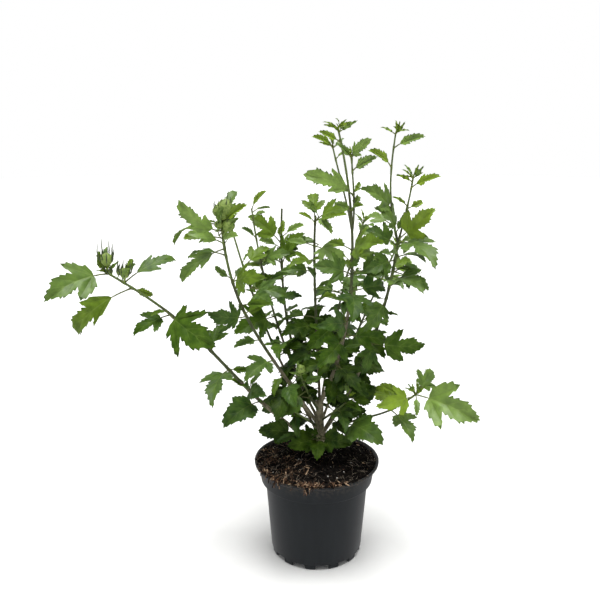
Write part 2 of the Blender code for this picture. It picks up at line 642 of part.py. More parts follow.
def ruled_leaves(name, dice):
    """The leaves that the rule gives a stem: one at each joint, some with a small one beside it."""
    stem = STEMS[name]
    count = int(stem.length * (stem.ruled - stem.bare) / INTERNODE)
    heading = dice.uniform(0, 360)
    for joint in range(max(0, count)):
        share = stem.bare + FIRST_JOINT + (stem.ruled - stem.bare) * (joint + 0.5) / count
        heading += TURN + dice.uniform(-TURN_SPREAD, TURN_SPREAD)
        size = LEAF_LENGTH * (1.0 - TIP_SHRINKAGE * share**3) * dice.uniform(*LEAF_SIZES)
        rise = FOOT_RISE + (TIP_RISE - FOOT_RISE) * share + dice.uniform(-RISE_SPREAD, RISE_SPREAD)
        yield Leaf(share, heading, rise, size, dice.uniform(-ROLL_SPREAD, ROLL_SPREAD))
        if dice.random() < AXILLARY_CHANCE:
            beside = heading + dice.choice((-1, 1)) * dice.uniform(*AXILLARY_TURNS)
            small = size * dice.uniform(*AXILLARY_SIZES)
            roll = dice.uniform(-AXILLARY_ROLL, AXILLARY_ROLL)
            yield Leaf(share + AXILLARY_STEP, beside, rise + AXILLARY_RISE, small, roll)


def turned_out(foot, leaf):
    """The leaf, turned about if it would grow in across the open foot of the shrub."""
    outward = math.degrees(math.atan2(foot.y - TRUNK_FOOT.y, foot.x - TRUNK_FOOT.x))
    off = (leaf.heading - outward + 180.0) % 360.0 - 180.0
    grows_in = foot.z < TRUNK_FOOT.z + OPEN and abs(off) > INWARD
    return leaf._replace(heading=leaf.heading + 180.0) if grows_in else leaf


def tuft_leaves(dice):
    """The whorl of narrow young leaves at a growing tip."""
    start = dice.uniform(0, 360)
    for index in range(TUFT_COUNT):
        length = TUFT_LENGTH * dice.uniform(*TUFT_SIZES)
        rise = dice.uniform(*TUFT_RISES)
        yield Leaf(TUFT_SHARE, start + index * TURN, rise, length, dice.uniform(-TUFT_ROLL, TUFT_ROLL))


def ball_round(points):
    """The middle and the radius of a ball that holds the points."""
    middle = sum(points, Vector()) / len(points)
    return middle, max((point - middle).length for point in points)


class Space:
    """The solids placed so far, which a new leaf has to clear."""

    def __init__(self):
        self.trees = []

    def add(self, shape, mass, stem=None):
        """Keeps a solid, with the mass and the stem that it belongs to."""
        self.trees.append((BVHTree.FromPolygons(*shape), *ball_round(shape[0]), mass, stem))

    def clear(self, whole, beyond_stalk, mass, stem):
        """Whether a leaf clears the other masses, and its blade and outer stalk those of its own."""
        middle, reach = ball_round(whole[0])
        whole_tree = BVHTree.FromPolygons(*whole)
        own_tree = BVHTree.FromPolygons(*beyond_stalk)
        for other, other_middle, other_reach, other_mass, other_stem in self.trees:
            if other_stem == stem or (other_middle - middle).length > reach + other_reach:
                continue
            tree = own_tree if other_mass == mass else whole_tree
            if tree.overlap(other):
                return False
        return True


def mass_of(name):
    """The mass that a stem belongs to: its own, or its parent's."""
    return STEMS[name].parent or name


def settle(space, name, leaf, form):
    """Places a leaf where it clears all else, turning it a little if need be, or returns None."""
    foot = along_stem(name, leaf.share)
    for size in NUDGED_SIZES:
        for turn, lift in NUDGES:
            tried = Leaf(leaf.share, leaf.heading + turn, leaf.rise + lift, leaf.length * size, leaf.roll)
            whole = leaf_shape(foot, tried, form, CLEARANCE)
            beyond_stalk = leaf_shape(foot, tried, form, CLEARANCE, HIDDEN_STALK)
            if space.clear(whole, beyond_stalk, mass_of(name), name):
                return tried
    return None


def dressed(space):
    """The settled leaves of every stem, as (leaf, form): marked ones first, then tufts, then the rule's."""
    leaves = {name: [] for name in STEMS}

    def add(name, leaf, form):
        """Keeps a leaf, if there is a clear place for it."""
        settled = settle(space, name, leaf, form)
        if settled is not None:
            leaves[name].append((settled, form))
            space.add(leaf_shape(along_stem(name, settled.share), settled, form, 0.0), mass_of(name))

    for name, marked in MARKED.items():
        for index, values in enumerate(marked):
            leaf = Leaf(*values)
            add(name, leaf, leaf_form(along_stem(name, leaf.share), leaf, index))
    for order, name in enumerate(STEMS):
        dice = random.Random(SEED + order)
        if name in TUFTED:
            for leaf in tuft_leaves(dice):
                add(name, leaf, "young")
    for order, name in enumerate(STEMS):
        dice = random.Random(100 * SEED + order)
        for index, leaf in enumerate(ruled_leaves(name, dice)):
            foot = along_stem(name, leaf.share)
            add(name, turned_out(foot, leaf), leaf_form(foot, leaf, index))
    return leaves


def clear_scene():
    """Removes the objects that the scene starts with."""
    for left_over in list(bpy.data.objects):
        bpy.data.objects.remove(left_over)


def cut_clear_of_trunk(made, finish):
    """Ends a limb a gap short of the trunk."""
    cutter = add_object("cutter", mesh_of(*trunk_shape(GAP + FACET_ALLOWANCE)), finish)
    combine(made, [cutter], "DIFFERENCE")


def boughs(space, finish):
    """The bare feet of the stems, each one tapering limb cut to the trunk."""
    for name, stem in STEMS.items():
        if stem.bare:
            shape = stem_piece(name, 0.0, stem.bare, BOUGH_RINGS, BOUGH_SIDES)
            cut_clear_of_trunk(add_object("bough_" + name, mesh_of(*shape), finish), finish)
            space.add(shape, "bough")


def leafy_stems(space):
    """The shape of each stem's leafy stretch, by name. It starts a gap beyond its bough."""
    shapes = {}
    for name, stem in STEMS.items():
        first = stem.bare + (GAP + FACET_ALLOWANCE) / stem.length if stem.bare else 0.0
        rings = int(stem.length * (1 - first) / SHOOT_RING_SPACING) + 2
        shapes[name] = stem_piece(name, first, 1.0, max(FEWEST_SHOOT_RINGS, rings), SHOOT_SIDES)
        space.add(shapes[name], mass_of(name), name)
    return shapes


def foliage(name, stem_shapes, leaves, finish):
    """One mass: a stem with its side twigs, leaves and buds fused on."""
    mass = add_object("foliage_" + name, mesh_of(*stem_shapes[name]), finish)
    if not STEMS[name].bare:
        cut_clear_of_trunk(mass, finish)
    twigs = [other for other in STEMS if STEMS[other].parent == name]
    shapes = [stem_shapes[twig] for twig in twigs]
    for member in [name] + twigs:
        for leaf, form in leaves[member]:
            shapes.append(leaf_shape(along_stem(member, leaf.share), leaf, form, 0.0))
        for bud_stem, share, heading, rise, length in BUDS:
            if bud_stem == member:
                shapes.append(bud_shape(along_stem(member, share), heading, rise, length))
    combine(mass, [add_object("part", mesh_of(*shape), finish) for shape in shapes], "UNION")


def main():
    """Builds the shrub from the pot up."""
    clear_scene()
    plastic = material("pot plastic", (0.026, 0.031, 0.035), 0.42)
    earth = material("potting soil", (0.020, 0.014, 0.010), 0.95)
    bark = material("grey brown bark", (0.23, 0.19, 0.14), 0.85)
    leaf_green = material("leaf", (0.09, 0.19, 0.04), 0.55)

    space = Space()
    for made in (pot(plastic), soil(earth)):
        points = [vertex.co.copy() for vertex in made.data.vertices]
        faces = [tuple(face.vertices) for face in made.data.polygons]
        space.add((points, faces), "ground")
    add_object("trunk", mesh_of(*trunk_shape(0.0)), bark)
    space.add(trunk_shape(0.0), "trunk")
    boughs(space, bark)
    stem_shapes = leafy_stems(space)
    leaves = dressed(space)
    for name, stem in STEMS.items():
        if stem.parent is None:
            foliage(name, stem_shapes, leaves, leaf_green)
    for made in bpy.context.scene.objects:
        shade(made)


main()
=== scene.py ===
import itertools
import json
import math
import random
from collections import Counter, namedtuple

import bmesh
import bpy
import numpy as np
from mathutils import Euler, Matrix, Vector, noise
from mathutils.bvhtree import BVHTree
from mathutils.geometry import delaunay_2d_cdt
from mathutils.kdtree import KDTree

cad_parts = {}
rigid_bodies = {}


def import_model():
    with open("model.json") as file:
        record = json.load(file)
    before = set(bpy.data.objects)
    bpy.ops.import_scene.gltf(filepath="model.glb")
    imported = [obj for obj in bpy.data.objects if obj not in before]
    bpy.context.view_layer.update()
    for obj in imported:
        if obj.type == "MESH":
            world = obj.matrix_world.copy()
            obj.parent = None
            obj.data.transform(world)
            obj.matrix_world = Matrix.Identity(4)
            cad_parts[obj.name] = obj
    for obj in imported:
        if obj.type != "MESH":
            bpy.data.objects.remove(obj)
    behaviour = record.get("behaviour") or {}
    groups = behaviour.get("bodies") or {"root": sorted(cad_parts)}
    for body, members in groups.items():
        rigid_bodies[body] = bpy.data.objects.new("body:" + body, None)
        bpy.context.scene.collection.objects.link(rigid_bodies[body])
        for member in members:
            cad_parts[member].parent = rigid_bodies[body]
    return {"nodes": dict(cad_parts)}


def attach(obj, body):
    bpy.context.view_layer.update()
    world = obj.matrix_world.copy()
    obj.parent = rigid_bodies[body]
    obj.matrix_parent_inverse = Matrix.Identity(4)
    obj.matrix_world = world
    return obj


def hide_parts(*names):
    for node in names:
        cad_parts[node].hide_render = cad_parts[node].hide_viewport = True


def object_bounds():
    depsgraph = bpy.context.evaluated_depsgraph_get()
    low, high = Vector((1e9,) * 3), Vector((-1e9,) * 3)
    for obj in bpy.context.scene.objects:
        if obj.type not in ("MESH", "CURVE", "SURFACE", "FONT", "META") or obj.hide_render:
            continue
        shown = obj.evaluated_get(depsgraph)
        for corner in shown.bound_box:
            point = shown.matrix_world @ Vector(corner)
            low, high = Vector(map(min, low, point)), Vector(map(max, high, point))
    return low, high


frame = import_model()
cad_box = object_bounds()


# --------------------------------------
# The nursery pot: one thin moulding of black recycled polypropylene, with a stepped collar and
# a flared lip. Twelve feet and a middle pad are moulded under its pierced floor, and it carries
# the root ball.
POT_HEIGHT = 0.134
WALL = 0.0014
LIP_RADIUS = 0.085
LIP_DEPTH = 0.003
COLLAR_TOP = 0.127
COLLAR_TOP_RADIUS = 0.079
COLLAR_FOOT_RADIUS = 0.0763
COLLAR_FOOT = 0.1065
BODY_TOP_RADIUS = 0.0703
BODY_FOOT_RADIUS = 0.0628
FOOT_HEIGHT = 0.0065
FOOT_COUNT = 12
FOOT_ARC = 14.0  # degrees of the ring that one foot takes
FOOT_DEPTH = 0.007
FIRST_FOOT = -98.8  # degrees in plan
FOOT_ROUNDING = 0.0011
PAD_RADIUS = 0.014
DRAIN_RADIUS = 0.005
DRAIN_RING = 0.036
DRAIN_COUNT = 6
POT_SEGMENTS = 144
SMALL_SEGMENTS = 48
DRILL_SEGMENTS = 24
DRILL_LENGTH = 0.01
POT_ROUNDING = 0.0011
PAD_ROUNDING = 0.0008
CORNER_STEPS = 4
ON_AXIS = 1e-6
POT_WAVE = 0.00035  # how far the thin wall is out of round at its lip
DIRT_FROM = 0.112  # height above which soil has stained it


class Value:
    """A socket of a node tree, with arithmetic: each operator adds a Math node."""

    def __init__(self, nodes, socket):
        self.nodes = nodes
        self.socket = socket

    def maths(self, operation, *values):
        return self.nodes.node("ShaderNodeMath", {"operation": operation}, dict(enumerate(values)))

    def __add__(self, other):
        return self.maths("ADD", self, other)

    def __sub__(self, other):
        return self.maths("SUBTRACT", self, other)

    def __rsub__(self, other):
        return self.maths("SUBTRACT", other, self)

    def __mul__(self, other):
        return self.maths("MULTIPLY", self, other)

    def __gt__(self, other):
        return self.maths("GREATER_THAN", self, other)


class Nodes:
    """A node tree, and the one method that adds a node to it: settings first, then sockets."""

    def __init__(self, tree):
        self.tree = tree

    def node(self, kind, settings=None, sockets=None, output=0):
        made = self.tree.nodes.new(kind)
        for name, value in (settings or {}).items():
            if name == "stops":
                ramp = made.color_ramp
                ramp.elements.remove(ramp.elements[1])
                ramp.elements[0].position = value[0][0]
                ramp.elements[0].color = (*value[0][1], 1.0)
                for place, colour in value[1:]:
                    ramp.elements.new(place).color = (*colour, 1.0)
            else:
                setattr(made, name, value)
        for name, value in (sockets or {}).items():
            if isinstance(value, Value):
                self.tree.links.new(value.socket, made.inputs[name])
            else:
                made.inputs[name].default_value = value
        return Value(self, made.outputs[output])


class Finish(Nodes):
    """A material whose patterns lie in the object's own space."""

    def __init__(self, name):
        self.material = bpy.data.materials.new(name)
        self.material.use_nodes = True
        super().__init__(self.material.node_tree)
        self.tree.nodes.clear()
        self.place = self.node("ShaderNodeTexCoord", output="Object")

    def noise(self, scale, detail=3.0, stretch=(1.0, 1.0, 1.0)):
        place = self.node("ShaderNodeMapping", {}, {"Vector": self.place, "Scale": stretch})
        return self.node("ShaderNodeTexNoise", {}, {"Vector": place, "Scale": scale, "Detail": detail})

    def ramp(self, value, *stops):
        return self.node("ShaderNodeValToRGB", {"stops": stops}, {"Fac": value})

    def blend(self, share, first, second):
        colours = {0: share, 6: first, 7: second}
        for index in (6, 7):
            if isinstance(colours[index], tuple):
                colours[index] = (*colours[index], 1.0)
        return self.node("ShaderNodeMix", {"data_type": "RGBA"}, colours, 2)

    def bump(self, height, distance, strength=1.0):
        sockets = {"Height": height, "Distance": distance, "Strength": strength}
        return self.node("ShaderNodeBump", {}, sockets)

    def spread(self, value, low, high):
        return self.node("ShaderNodeMapRange", {}, {0: value, 3: low, 4: high})

    def surface(self, **sockets):
        """Closes the material with a Principled shader, its sockets named with _ for a space."""
        named = {name.replace("_", " "): value for name, value in sockets.items()}
        if isinstance(named["Base Color"], tuple):
            named["Base Color"] = (*named["Base Color"], 1.0)
        shader = self.node("ShaderNodeBsdfPrincipled", {}, named)
        self.end(shader)
        return self.material

    def end(self, shader):
        """Links a shader to the material's output."""
        output = self.tree.nodes.new("ShaderNodeOutputMaterial")
        self.tree.links.new(shader.socket, output.inputs["Surface"])


class Geometry(Nodes):
    """A Geometry Nodes tree with named inputs, which is run on an object and leaves a plain mesh."""

    def __init__(self, name, **inputs):
        super().__init__(bpy.data.node_groups.new(name, "GeometryNodeTree"))
        face = self.tree.interface
        face.new_socket("Geometry", in_out="INPUT", socket_type="NodeSocketGeometry")
        face.new_socket("Geometry", in_out="OUTPUT", socket_type="NodeSocketGeometry")
        for label, kind in inputs.items():
            face.new_socket(label, in_out="INPUT", socket_type="NodeSocket" + kind)
        self.given = self.tree.nodes.new("NodeGroupInput")

    def take(self, label):
        return Value(self, self.given.outputs[label])

    def close(self, instances, material):
        """Ends the tree by making the instances real and giving them their material."""
        real = self.node("GeometryNodeRealizeInstances", {}, {"Geometry": instances})
        done = self.node("GeometryNodeSetMaterial", {}, {"Geometry": real, "Material": material})
        out = self.tree.nodes.new("NodeGroupOutput")
        self.tree.links.new(done.socket, out.inputs[0])

    def run(self, name, base, **values):
        """A new object with the plain mesh that the tree makes from base."""
        modifier = base.modifiers.new("nodes", "NODES")
        modifier.node_group = self.tree
        for item in self.tree.interface.items_tree:
            if item.in_out == "INPUT" and item.name in values:
                modifier[item.identifier] = values[item.name]
        graph = bpy.context.evaluated_depsgraph_get()
        graph.update()
        mesh = bpy.data.meshes.new_from_object(base.evaluated_get(graph))
        base.modifiers.remove(modifier)
        return add_object(name, mesh)


def add_object(name, mesh):
    """The mesh as a named object at the origin."""
    mesh.name = name
    made = bpy.data.objects.new(name, mesh)
    bpy.context.scene.collection.objects.link(made)
    return made


def remove(*objects):
    """Takes helpers out of the scene."""
    for helper in objects:
        bpy.data.objects.remove(helper)


def mesh_of(points, faces, finishes=(), of_face=None, sharp=None):
    """A smooth mesh from lists, with its finishes, and with edges sharp over an angle in degrees."""
    mesh = bpy.data.meshes.new("mesh")
    mesh.from_pydata([tuple(point) for point in points], [], [tuple(face) for face in faces])
    for finish in finishes:
        mesh.materials.append(finish)
    if of_face is not None:
        mesh.polygons.foreach_set("material_index", of_face)
    mesh.shade_smooth()
    if sharp is not None:
        mesh.set_sharp_from_angle(angle=math.radians(sharp))
    return mesh


def mesh_from(work, smooth=True):
    """A mesh from a bmesh that is done with."""
    mesh = bpy.data.meshes.new("mesh")
    work.to_mesh(mesh)
    work.free()
    if smooth:
        mesh.shade_smooth()
    return mesh


def polar(radius, angle, height=0.0):
    """A point at a radius and an angle in plan, and a height."""
    return Vector((radius * math.cos(angle), radius * math.sin(angle), height))


def angles(count):
    """Angles evenly round a circle."""
    return [2 * math.pi * index / count for index in range(count)]


def rounded(corners, rounding):
    """A profile with each of its corners turned into a short curve of that size."""
    points = [corners[0]]
    for before, corner, after in zip(corners, corners[1:], corners[2:]):
        here, ends = Vector(corner), []
        for other in (before, after):
            way = Vector(other) - here
            ends.append(here + way.normalized() * min(rounding, 0.45 * way.length))
        for step in range(CORNER_STEPS + 1):
            share = step / CORNER_STEPS
            points.append(tuple(ends[0].lerp(here, share).lerp(here.lerp(ends[1], share), share)))
    return points + [corners[-1]]


def turned(profile, segments, wave=0.0):
    """A shape of revolution from an outline of (radius, height) that starts and ends on the axis."""
    points, rings = [], []
    for radius, height in profile:
        round_ring = angles(segments) if radius > ON_AXIS else [0.0]
        rings.append(list(range(len(points), len(points) + len(round_ring))))
        high = (height / POT_HEIGHT) ** 3
        for angle in round_ring:
            ripple = wave * high * (math.sin(2 * angle + 0.7) + 0.5 * math.sin(5 * angle))
            points.append(polar(radius + ripple if radius > ON_AXIS else 0.0, angle, height))
    faces = []
    for low, high in zip(rings, rings[1:]):
        for here in range(segments):
            corners = [low[here % len(low)], low[(here + 1) % len(low)]]
            corners += [high[(here + 1) % len(high)], high[here % len(high)]]
            faces.append(tuple(dict.fromkeys(corners)))
    return mesh_of(points, faces)


def block(corners, rounding):
    """A rounded block between eight corner points, the lower four first."""
    work = bmesh.new()
    verts = [work.verts.new(corner) for corner in corners]
    for face in ((3, 2, 1, 0), (4, 5, 6, 7), (0, 1, 5, 4), (1, 2, 6, 5), (2, 3, 7, 6), (3, 0, 4, 7)):
        work.faces.new([verts[i] for i in face])
    bmesh.ops.recalc_face_normals(work, faces=work.faces)
    bmesh.ops.bevel(work, geom=list(work.edges), offset=rounding, segments=2, affect="EDGES")
    return mesh_from(work)


plastic = Finish("black_nursery_plastic")
grain = plastic.noise(1400, 2)
streaks = plastic.noise(90, 4, (1.0, 1.0, 0.12))
height_up = plastic.node("ShaderNodeSeparateXYZ", {}, {0: plastic.place}, "Z")
near_rim = plastic.node("ShaderNodeMapRange", {}, {0: height_up, 1: DIRT_FROM, 2: POT_HEIGHT})
dirt = near_rim * (plastic.noise(260, 5) > 0.52) * 0.55
charcoal = plastic.ramp(streaks, (0.3, (0.0058, 0.0083, 0.0108)), (0.7, (0.0089, 0.0121, 0.0152)))
pot_plastic = plastic.surface(
    Base_Color=plastic.blend(dirt, charcoal, (0.075, 0.060, 0.045)),
    Roughness=plastic.spread(streaks, 0.28, 0.40) + dirt * 0.5,
    Specular_IOR_Level=0.36,
    Normal=plastic.bump(grain + streaks * 0.6, 0.00006, 0.6),
)

outside = [
    (0.0, FOOT_HEIGHT), (BODY_FOOT_RADIUS, FOOT_HEIGHT), (BODY_TOP_RADIUS, COLLAR_FOOT),
    (COLLAR_FOOT_RADIUS, COLLAR_FOOT), (COLLAR_TOP_RADIUS, COLLAR_TOP),
    (LIP_RADIUS, POT_HEIGHT - LIP_DEPTH), (LIP_RADIUS, POT_HEIGHT),
]
shelf = COLLAR_FOOT + WALL
inside = [
    (LIP_RADIUS - 2 * WALL, POT_HEIGHT), (COLLAR_TOP_RADIUS - WALL, COLLAR_TOP + 0.5 * WALL),
    (COLLAR_FOOT_RADIUS - WALL, shelf), (BODY_TOP_RADIUS - WALL, shelf),
    (BODY_FOOT_RADIUS - WALL, FOOT_HEIGHT + WALL), (0.0, FOOT_HEIGHT + WALL),
]
shell = add_object("shell", turned(rounded(outside + inside, POT_ROUNDING), POT_SEGMENTS, POT_WAVE))
drains = []
for angle in angles(DRAIN_COUNT):
    work = bmesh.new()
    bmesh.ops.create_cone(
        work, cap_ends=True, segments=DRILL_SEGMENTS,
        radius1=DRAIN_RADIUS, radius2=DRAIN_RADIUS, depth=DRILL_LENGTH,
        matrix=Matrix.Translation(polar(DRAIN_RING, angle, FOOT_HEIGHT)),
    )
    drains.append(add_object("drain", mesh_from(work, smooth=False)))
with bpy.context.temp_override(active_object=drains[0], selected_editable_objects=drains):
    bpy.ops.object.join()
cut = shell.modifiers.new("drains", "BOOLEAN")
cut.object = drains[0]
cut.solver = "EXACT"
graph = bpy.context.evaluated_depsgraph_get()
pierced = bpy.data.meshes.new_from_object(shell.evaluated_get(graph))
remove(shell, drains[0])
half = math.radians(0.5 * FOOT_ARC)
sunk = FOOT_HEIGHT + 0.5 * WALL  # where the feet and the pad end, inside the floor
foot_corners = []
for height, outer in ((0.0, BODY_FOOT_RADIUS - 0.0008), (sunk, BODY_FOOT_RADIUS - 0.0002)):
    inner = BODY_FOOT_RADIUS - FOOT_DEPTH
    for radius, angle in ((outer, -half), (outer, half), (inner, half), (inner, -half)):
        foot_corners.append(polar(radius, angle, height))
foot = add_object("foot", block(foot_corners, FOOT_ROUNDING))
pad_profile = [(0.0, 0.0), (PAD_RADIUS, 0.0), (PAD_RADIUS, sunk), (0.0, sunk)]
pad = add_object("pad", turned(rounded(pad_profile, PAD_ROUNDING), SMALL_SEGMENTS))
shell = add_object("shell", pierced)

feet = Geometry("moulded_feet", Foot="Object", Pad="Object", Count="Int", First="Float", Finish="Material")
spots = feet.node("GeometryNodeMeshLine", {}, {"Count": feet.take("Count"), "Offset": (0.0, 0.0, 0.0)})
turn = feet.node("GeometryNodeInputIndex") * math.radians(360.0 / FOOT_COUNT) + feet.take("First")
facing = feet.node("ShaderNodeCombineXYZ", {}, {"Z": turn})
one_foot = feet.node("GeometryNodeObjectInfo", {}, {"Object": feet.take("Foot")}, "Geometry")
ring_of_feet = feet.node(
    "GeometryNodeInstanceOnPoints", {}, {"Points": spots, "Instance": one_foot, "Rotation": facing},
)
middle = feet.node("GeometryNodeObjectInfo", {}, {"Object": feet.take("Pad")}, "Geometry")
whole = feet.node("GeometryNodeJoinGeometry")
for part in (feet.take("Geometry"), ring_of_feet, middle):
    feet.tree.links.new(part.socket, whole.socket.node.inputs[0])
feet.close(whole, feet.take("Finish"))
nursery_pot = feet.run(
    "nursery_pot", shell, Foot=foot, Pad=pad, Count=FOOT_COUNT, First=math.radians(FIRST_FOOT),
    Finish=pot_plastic,
)
nursery_pot.data.set_sharp_from_angle(angle=math.radians(50))
remove(shell, foot, pad)
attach(nursery_pot, "root")
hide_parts("pot")


# --------------------------------------
# The root ball: peat potting soil that fills the pot, heaped in an uneven mound round the trunk
# and spilling over the lip in front. Bark chips, straw fibres and a few grains of perlite are
# mixed into it, most of them to the left.
TRUNK_FOOT = Vector((0.004, 0.012, 0.143))
SOIL_CROWN = 0.1427
SOIL_EDGE = 0.1305
SOIL_RIPPLE = 0.0016
SOIL_WAVES = ((1.0, 95, 120, 1.3), (0.6, 210, -160, 0.0))  # strength, radians a metre in x, y, start
SOIL_LEVEL = 0.014
SOIL_FADE = 0.02
SOIL_EDGE_FADE = 0.12
SOIL_SEGMENTS = 200
SOIL_RINGS = 64
SOIL_GAP = 0.0003  # between the root ball and the pot's wall
LIP_GAP = 0.0006
POT_EDGE = LIP_RADIUS - 2 * WALL
CRUMBS = ((55, 0.0022), (140, 0.0022), (420, 0.0012))  # lumps a metre, height
SPILL = (-100.0, 150.0)  # where the soil lies over the lip: middle and spread, in degrees in plan
SPILL_RISE = 0.0045
SPILL_REACH = 0.0032
# Where litter gathers, given the same way: on the left, in front, against the lip and on the right.
LEFT, FRONT, LIP, RIGHT = (-160, 75), (-105, 55), (-125, 80), (-35, 80)
PATCHES = 55  # a metre
CRUMB_SIZE = 0.0046
GRIT_SIZE = 0.0018
CHIP_LENGTH = 0.0075
STRAW_LENGTH = 0.014
FIBRE_LENGTH = 0.018
FIBRE_RADIUS = 0.014  # of its length
FIBRE_TAPER = (0.5, 0.9, 1.0, 1.0, 0.8, 0.4)
LITTER_LIFT = 0.0007
LITTER_SEED = 5


def held(value):
    """A value held between 0 and 1."""
    return min(1.0, max(0.0, value))


def soil_height(x, y):
    """Height of the soil: a low uneven mound, level where the trunk stands."""
    share = min(1.0, math.hypot(x, y) / POT_EDGE)
    height = SOIL_CROWN + (SOIL_EDGE - SOIL_CROWN) * share**2
    from_trunk = math.hypot(x - TRUNK_FOOT.x, y - TRUNK_FOOT.y)
    fade = held((from_trunk - SOIL_LEVEL) / SOIL_FADE) * min(1.0, (1.0 - share) / SOIL_EDGE_FADE)
    for strength, in_x, in_y, start in SOIL_WAVES:
        height += fade * SOIL_RIPPLE * strength * math.sin(in_x * x + in_y * y + start)
    return height


def bell(value, middle, spread):
    """A smooth hump of height 1 that dies out at a spread from its middle, in degrees round."""
    away = abs((value - middle + 180) % 360 - 180) / spread
    return math.cos(0.5 * math.pi * min(1.0, away)) ** 2


def crumbled(spot):
    """How far the crumbs of the soil rise at a spot."""
    return sum(
        height * noise.noise(Vector((spot.x * scale, spot.y * scale, scale))) for scale, height in CRUMBS
    )


middle = Vector((TRUNK_FOOT.x, TRUNK_FOOT.y, 0.0))
soil_points = [Vector((middle.x, middle.y, soil_height(middle.x, middle.y)))]
for ring in range(1, SOIL_RINGS + 1):
    share = ring / SOIL_RINGS
    for index in range(SOIL_SEGMENTS):
        degrees = 360.0 * index / SOIL_SEGMENTS
        spill = bell(degrees, *SPILL)
        spot = middle.lerp(polar(POT_EDGE - LIP_GAP + SPILL_REACH * spill, math.radians(degrees)), share)
        spot.z = soil_height(spot.x, spot.y) + spill * SPILL_RISE * share**8
        spot.z += crumbled(spot) * min(1.0, (1.0 - share) * 12 + 0.35)
        soil_points.append(spot)
floor_height = FOOT_HEIGHT + WALL + SOIL_GAP
wall_profile = (
    (COLLAR_TOP_RADIUS - 0.0001, COLLAR_TOP), (COLLAR_FOOT_RADIUS, shelf + SOIL_GAP),
    (BODY_TOP_RADIUS, shelf + SOIL_GAP), (BODY_FOOT_RADIUS, floor_height),
)
for radius, height in wall_profile:
    soil_points += [polar(radius - WALL - SOIL_GAP, angle, height) for angle in angles(SOIL_SEGMENTS)]
soil_points.append(Vector((0.0, 0.0, floor_height)))
soil_faces = []
last_ring = SOIL_RINGS + len(wall_profile) - 1
for index in range(SOIL_SEGMENTS):
    after = (index + 1) % SOIL_SEGMENTS
    soil_faces.append((0, 1 + index, 1 + after))
    for ring in range(last_ring):
        low = 1 + ring * SOIL_SEGMENTS
        high = low + SOIL_SEGMENTS
        soil_faces.append((low + index, high + index, high + after, low + after))
    low = 1 + last_ring * SOIL_SEGMENTS
    soil_faces.append((low + index, len(soil_points) - 1, low + after))

peat = Finish("peat_potting_soil")
clumps = peat.noise(160, 6)
specks = peat.noise(900, 3)
peat_dark = peat.ramp(clumps, (0.35, (0.0018, 0.0015, 0.0014)), (0.64, (0.0085, 0.0062, 0.0048)))
peat_soil = peat.surface(
    Base_Color=peat.blend((specks > 0.66) * 0.6, peat_dark, (0.045, 0.031, 0.021)),
    Roughness=0.95,
    Specular_IOR_Level=0.1,
    Normal=peat.bump(clumps + specks * 0.5, 0.0012),
)
root_ball = add_object("root_ball", mesh_of(soil_points, soil_faces, [peat_soil]))
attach(root_ball, "root")
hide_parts("soil")


def litter_weight(spot, kind):
    """How thickly a kind of litter lies at a spot."""
    heading = math.degrees(math.atan2(spot.y, spot.x))
    out = math.hypot(spot.x, spot.y) / LIP_RADIUS
    left = bell(heading, *LEFT) * min(1.0, 1.5 * out)
    front = bell(heading, *FRONT) * max(0.0, out - 0.5) * 2.0
    lip = bell(heading, *LIP) * max(0.0, out - 0.86) * 7.0
    right = bell(heading, *RIGHT) * out
    patch = max(0.02, 0.46 + 1.6 * noise.noise(Vector((spot.x * PATCHES, spot.y * PATCHES, 3.0)))) ** 1.5
    weights = {
        "chips": (0.03 + left + 0.55 * front + lip) * patch,
        "fibres": (0.07 + 0.8 * left + 0.4 * front + 0.8 * right) * (1.2 - 0.5 * patch),
        "grains": 0.3 + 0.7 * right + 0.4 * left,
    }
    return max(0.0, weights[kind])


top_count = 1 + SOIL_RINGS * SOIL_SEGMENTS
top_faces = [face for face in soil_faces if max(face) < top_count]
ground = add_object("ground", mesh_of(soil_points[:top_count], top_faces))
for kind in ("chips", "fibres", "grains"):
    weights = ground.data.attributes.new(kind, "FLOAT", "POINT")
    weights.data.foreach_set("value", [litter_weight(spot, kind) for spot in soil_points[:top_count]])


def tube_faces(rings, sides):
    """Faces of a closed tube whose points run ring by ring."""
    faces = [tuple(reversed(range(sides)))]
    for ring in range(rings - 1):
        for side in range(sides):
            after = (side + 1) % sides
            low = ring * sides
            faces.append((low + side, low + after, low + sides + after, low + sides + side))
    last = (rings - 1) * sides
    faces.append(tuple(last + side for side in range(sides)))
    return faces


def frames(path):
    """The way a path runs at each of its points, and a direction across it that doesn't twist."""
    across = None
    for index in range(len(path)):
        along = (path[min(index + 1, len(path) - 1)] - path[max(index - 1, 0)]).normalized()
        across = along.orthogonal() if across is None else across - along * across.dot(along)
        across.normalize()
        yield along, across.copy()


def tube(path, radii, sides):
    """Points and faces of a closed round limb along a path."""
    points = []
    for centre, radius, (along, across) in zip(path, radii, frames(path)):
        other = along.cross(across)
        for angle in angles(sides):
            points.append(centre + radius * (math.cos(angle) * across + math.sin(angle) * other))
    return points, tube_faces(len(path), sides)


class Heap:
    """The points, faces and tones of many small shapes, gathered for one mesh."""

    def __init__(self):
        self.points, self.faces, self.tones = [], [], []

    def add(self, points, faces, *tones):
        """Adds a shape with a tone for each of its faces, or one for all."""
        start = len(self.points)
        self.points.extend(points)
        self.faces.extend(tuple(start + index for index in face) for face in faces)
        self.tones.extend(tones if len(tones) > 1 else tones * len(faces))

    def piece(self, name, finishes, sharp):
        """The whole as an object, with edges sharp over an angle in degrees."""
        return add_object(name, mesh_of(self.points, self.faces, finishes, self.tones, sharp))


def lump(size, dice, subdivisions=1):
    """An irregular crumb of about that size."""
    work = bmesh.new()
    bmesh.ops.create_icosphere(work, subdivisions=subdivisions, radius=size / 2)
    for vert in work.verts:
        vert.co *= dice.uniform(0.65, 1.2)
    return mesh_from(work)


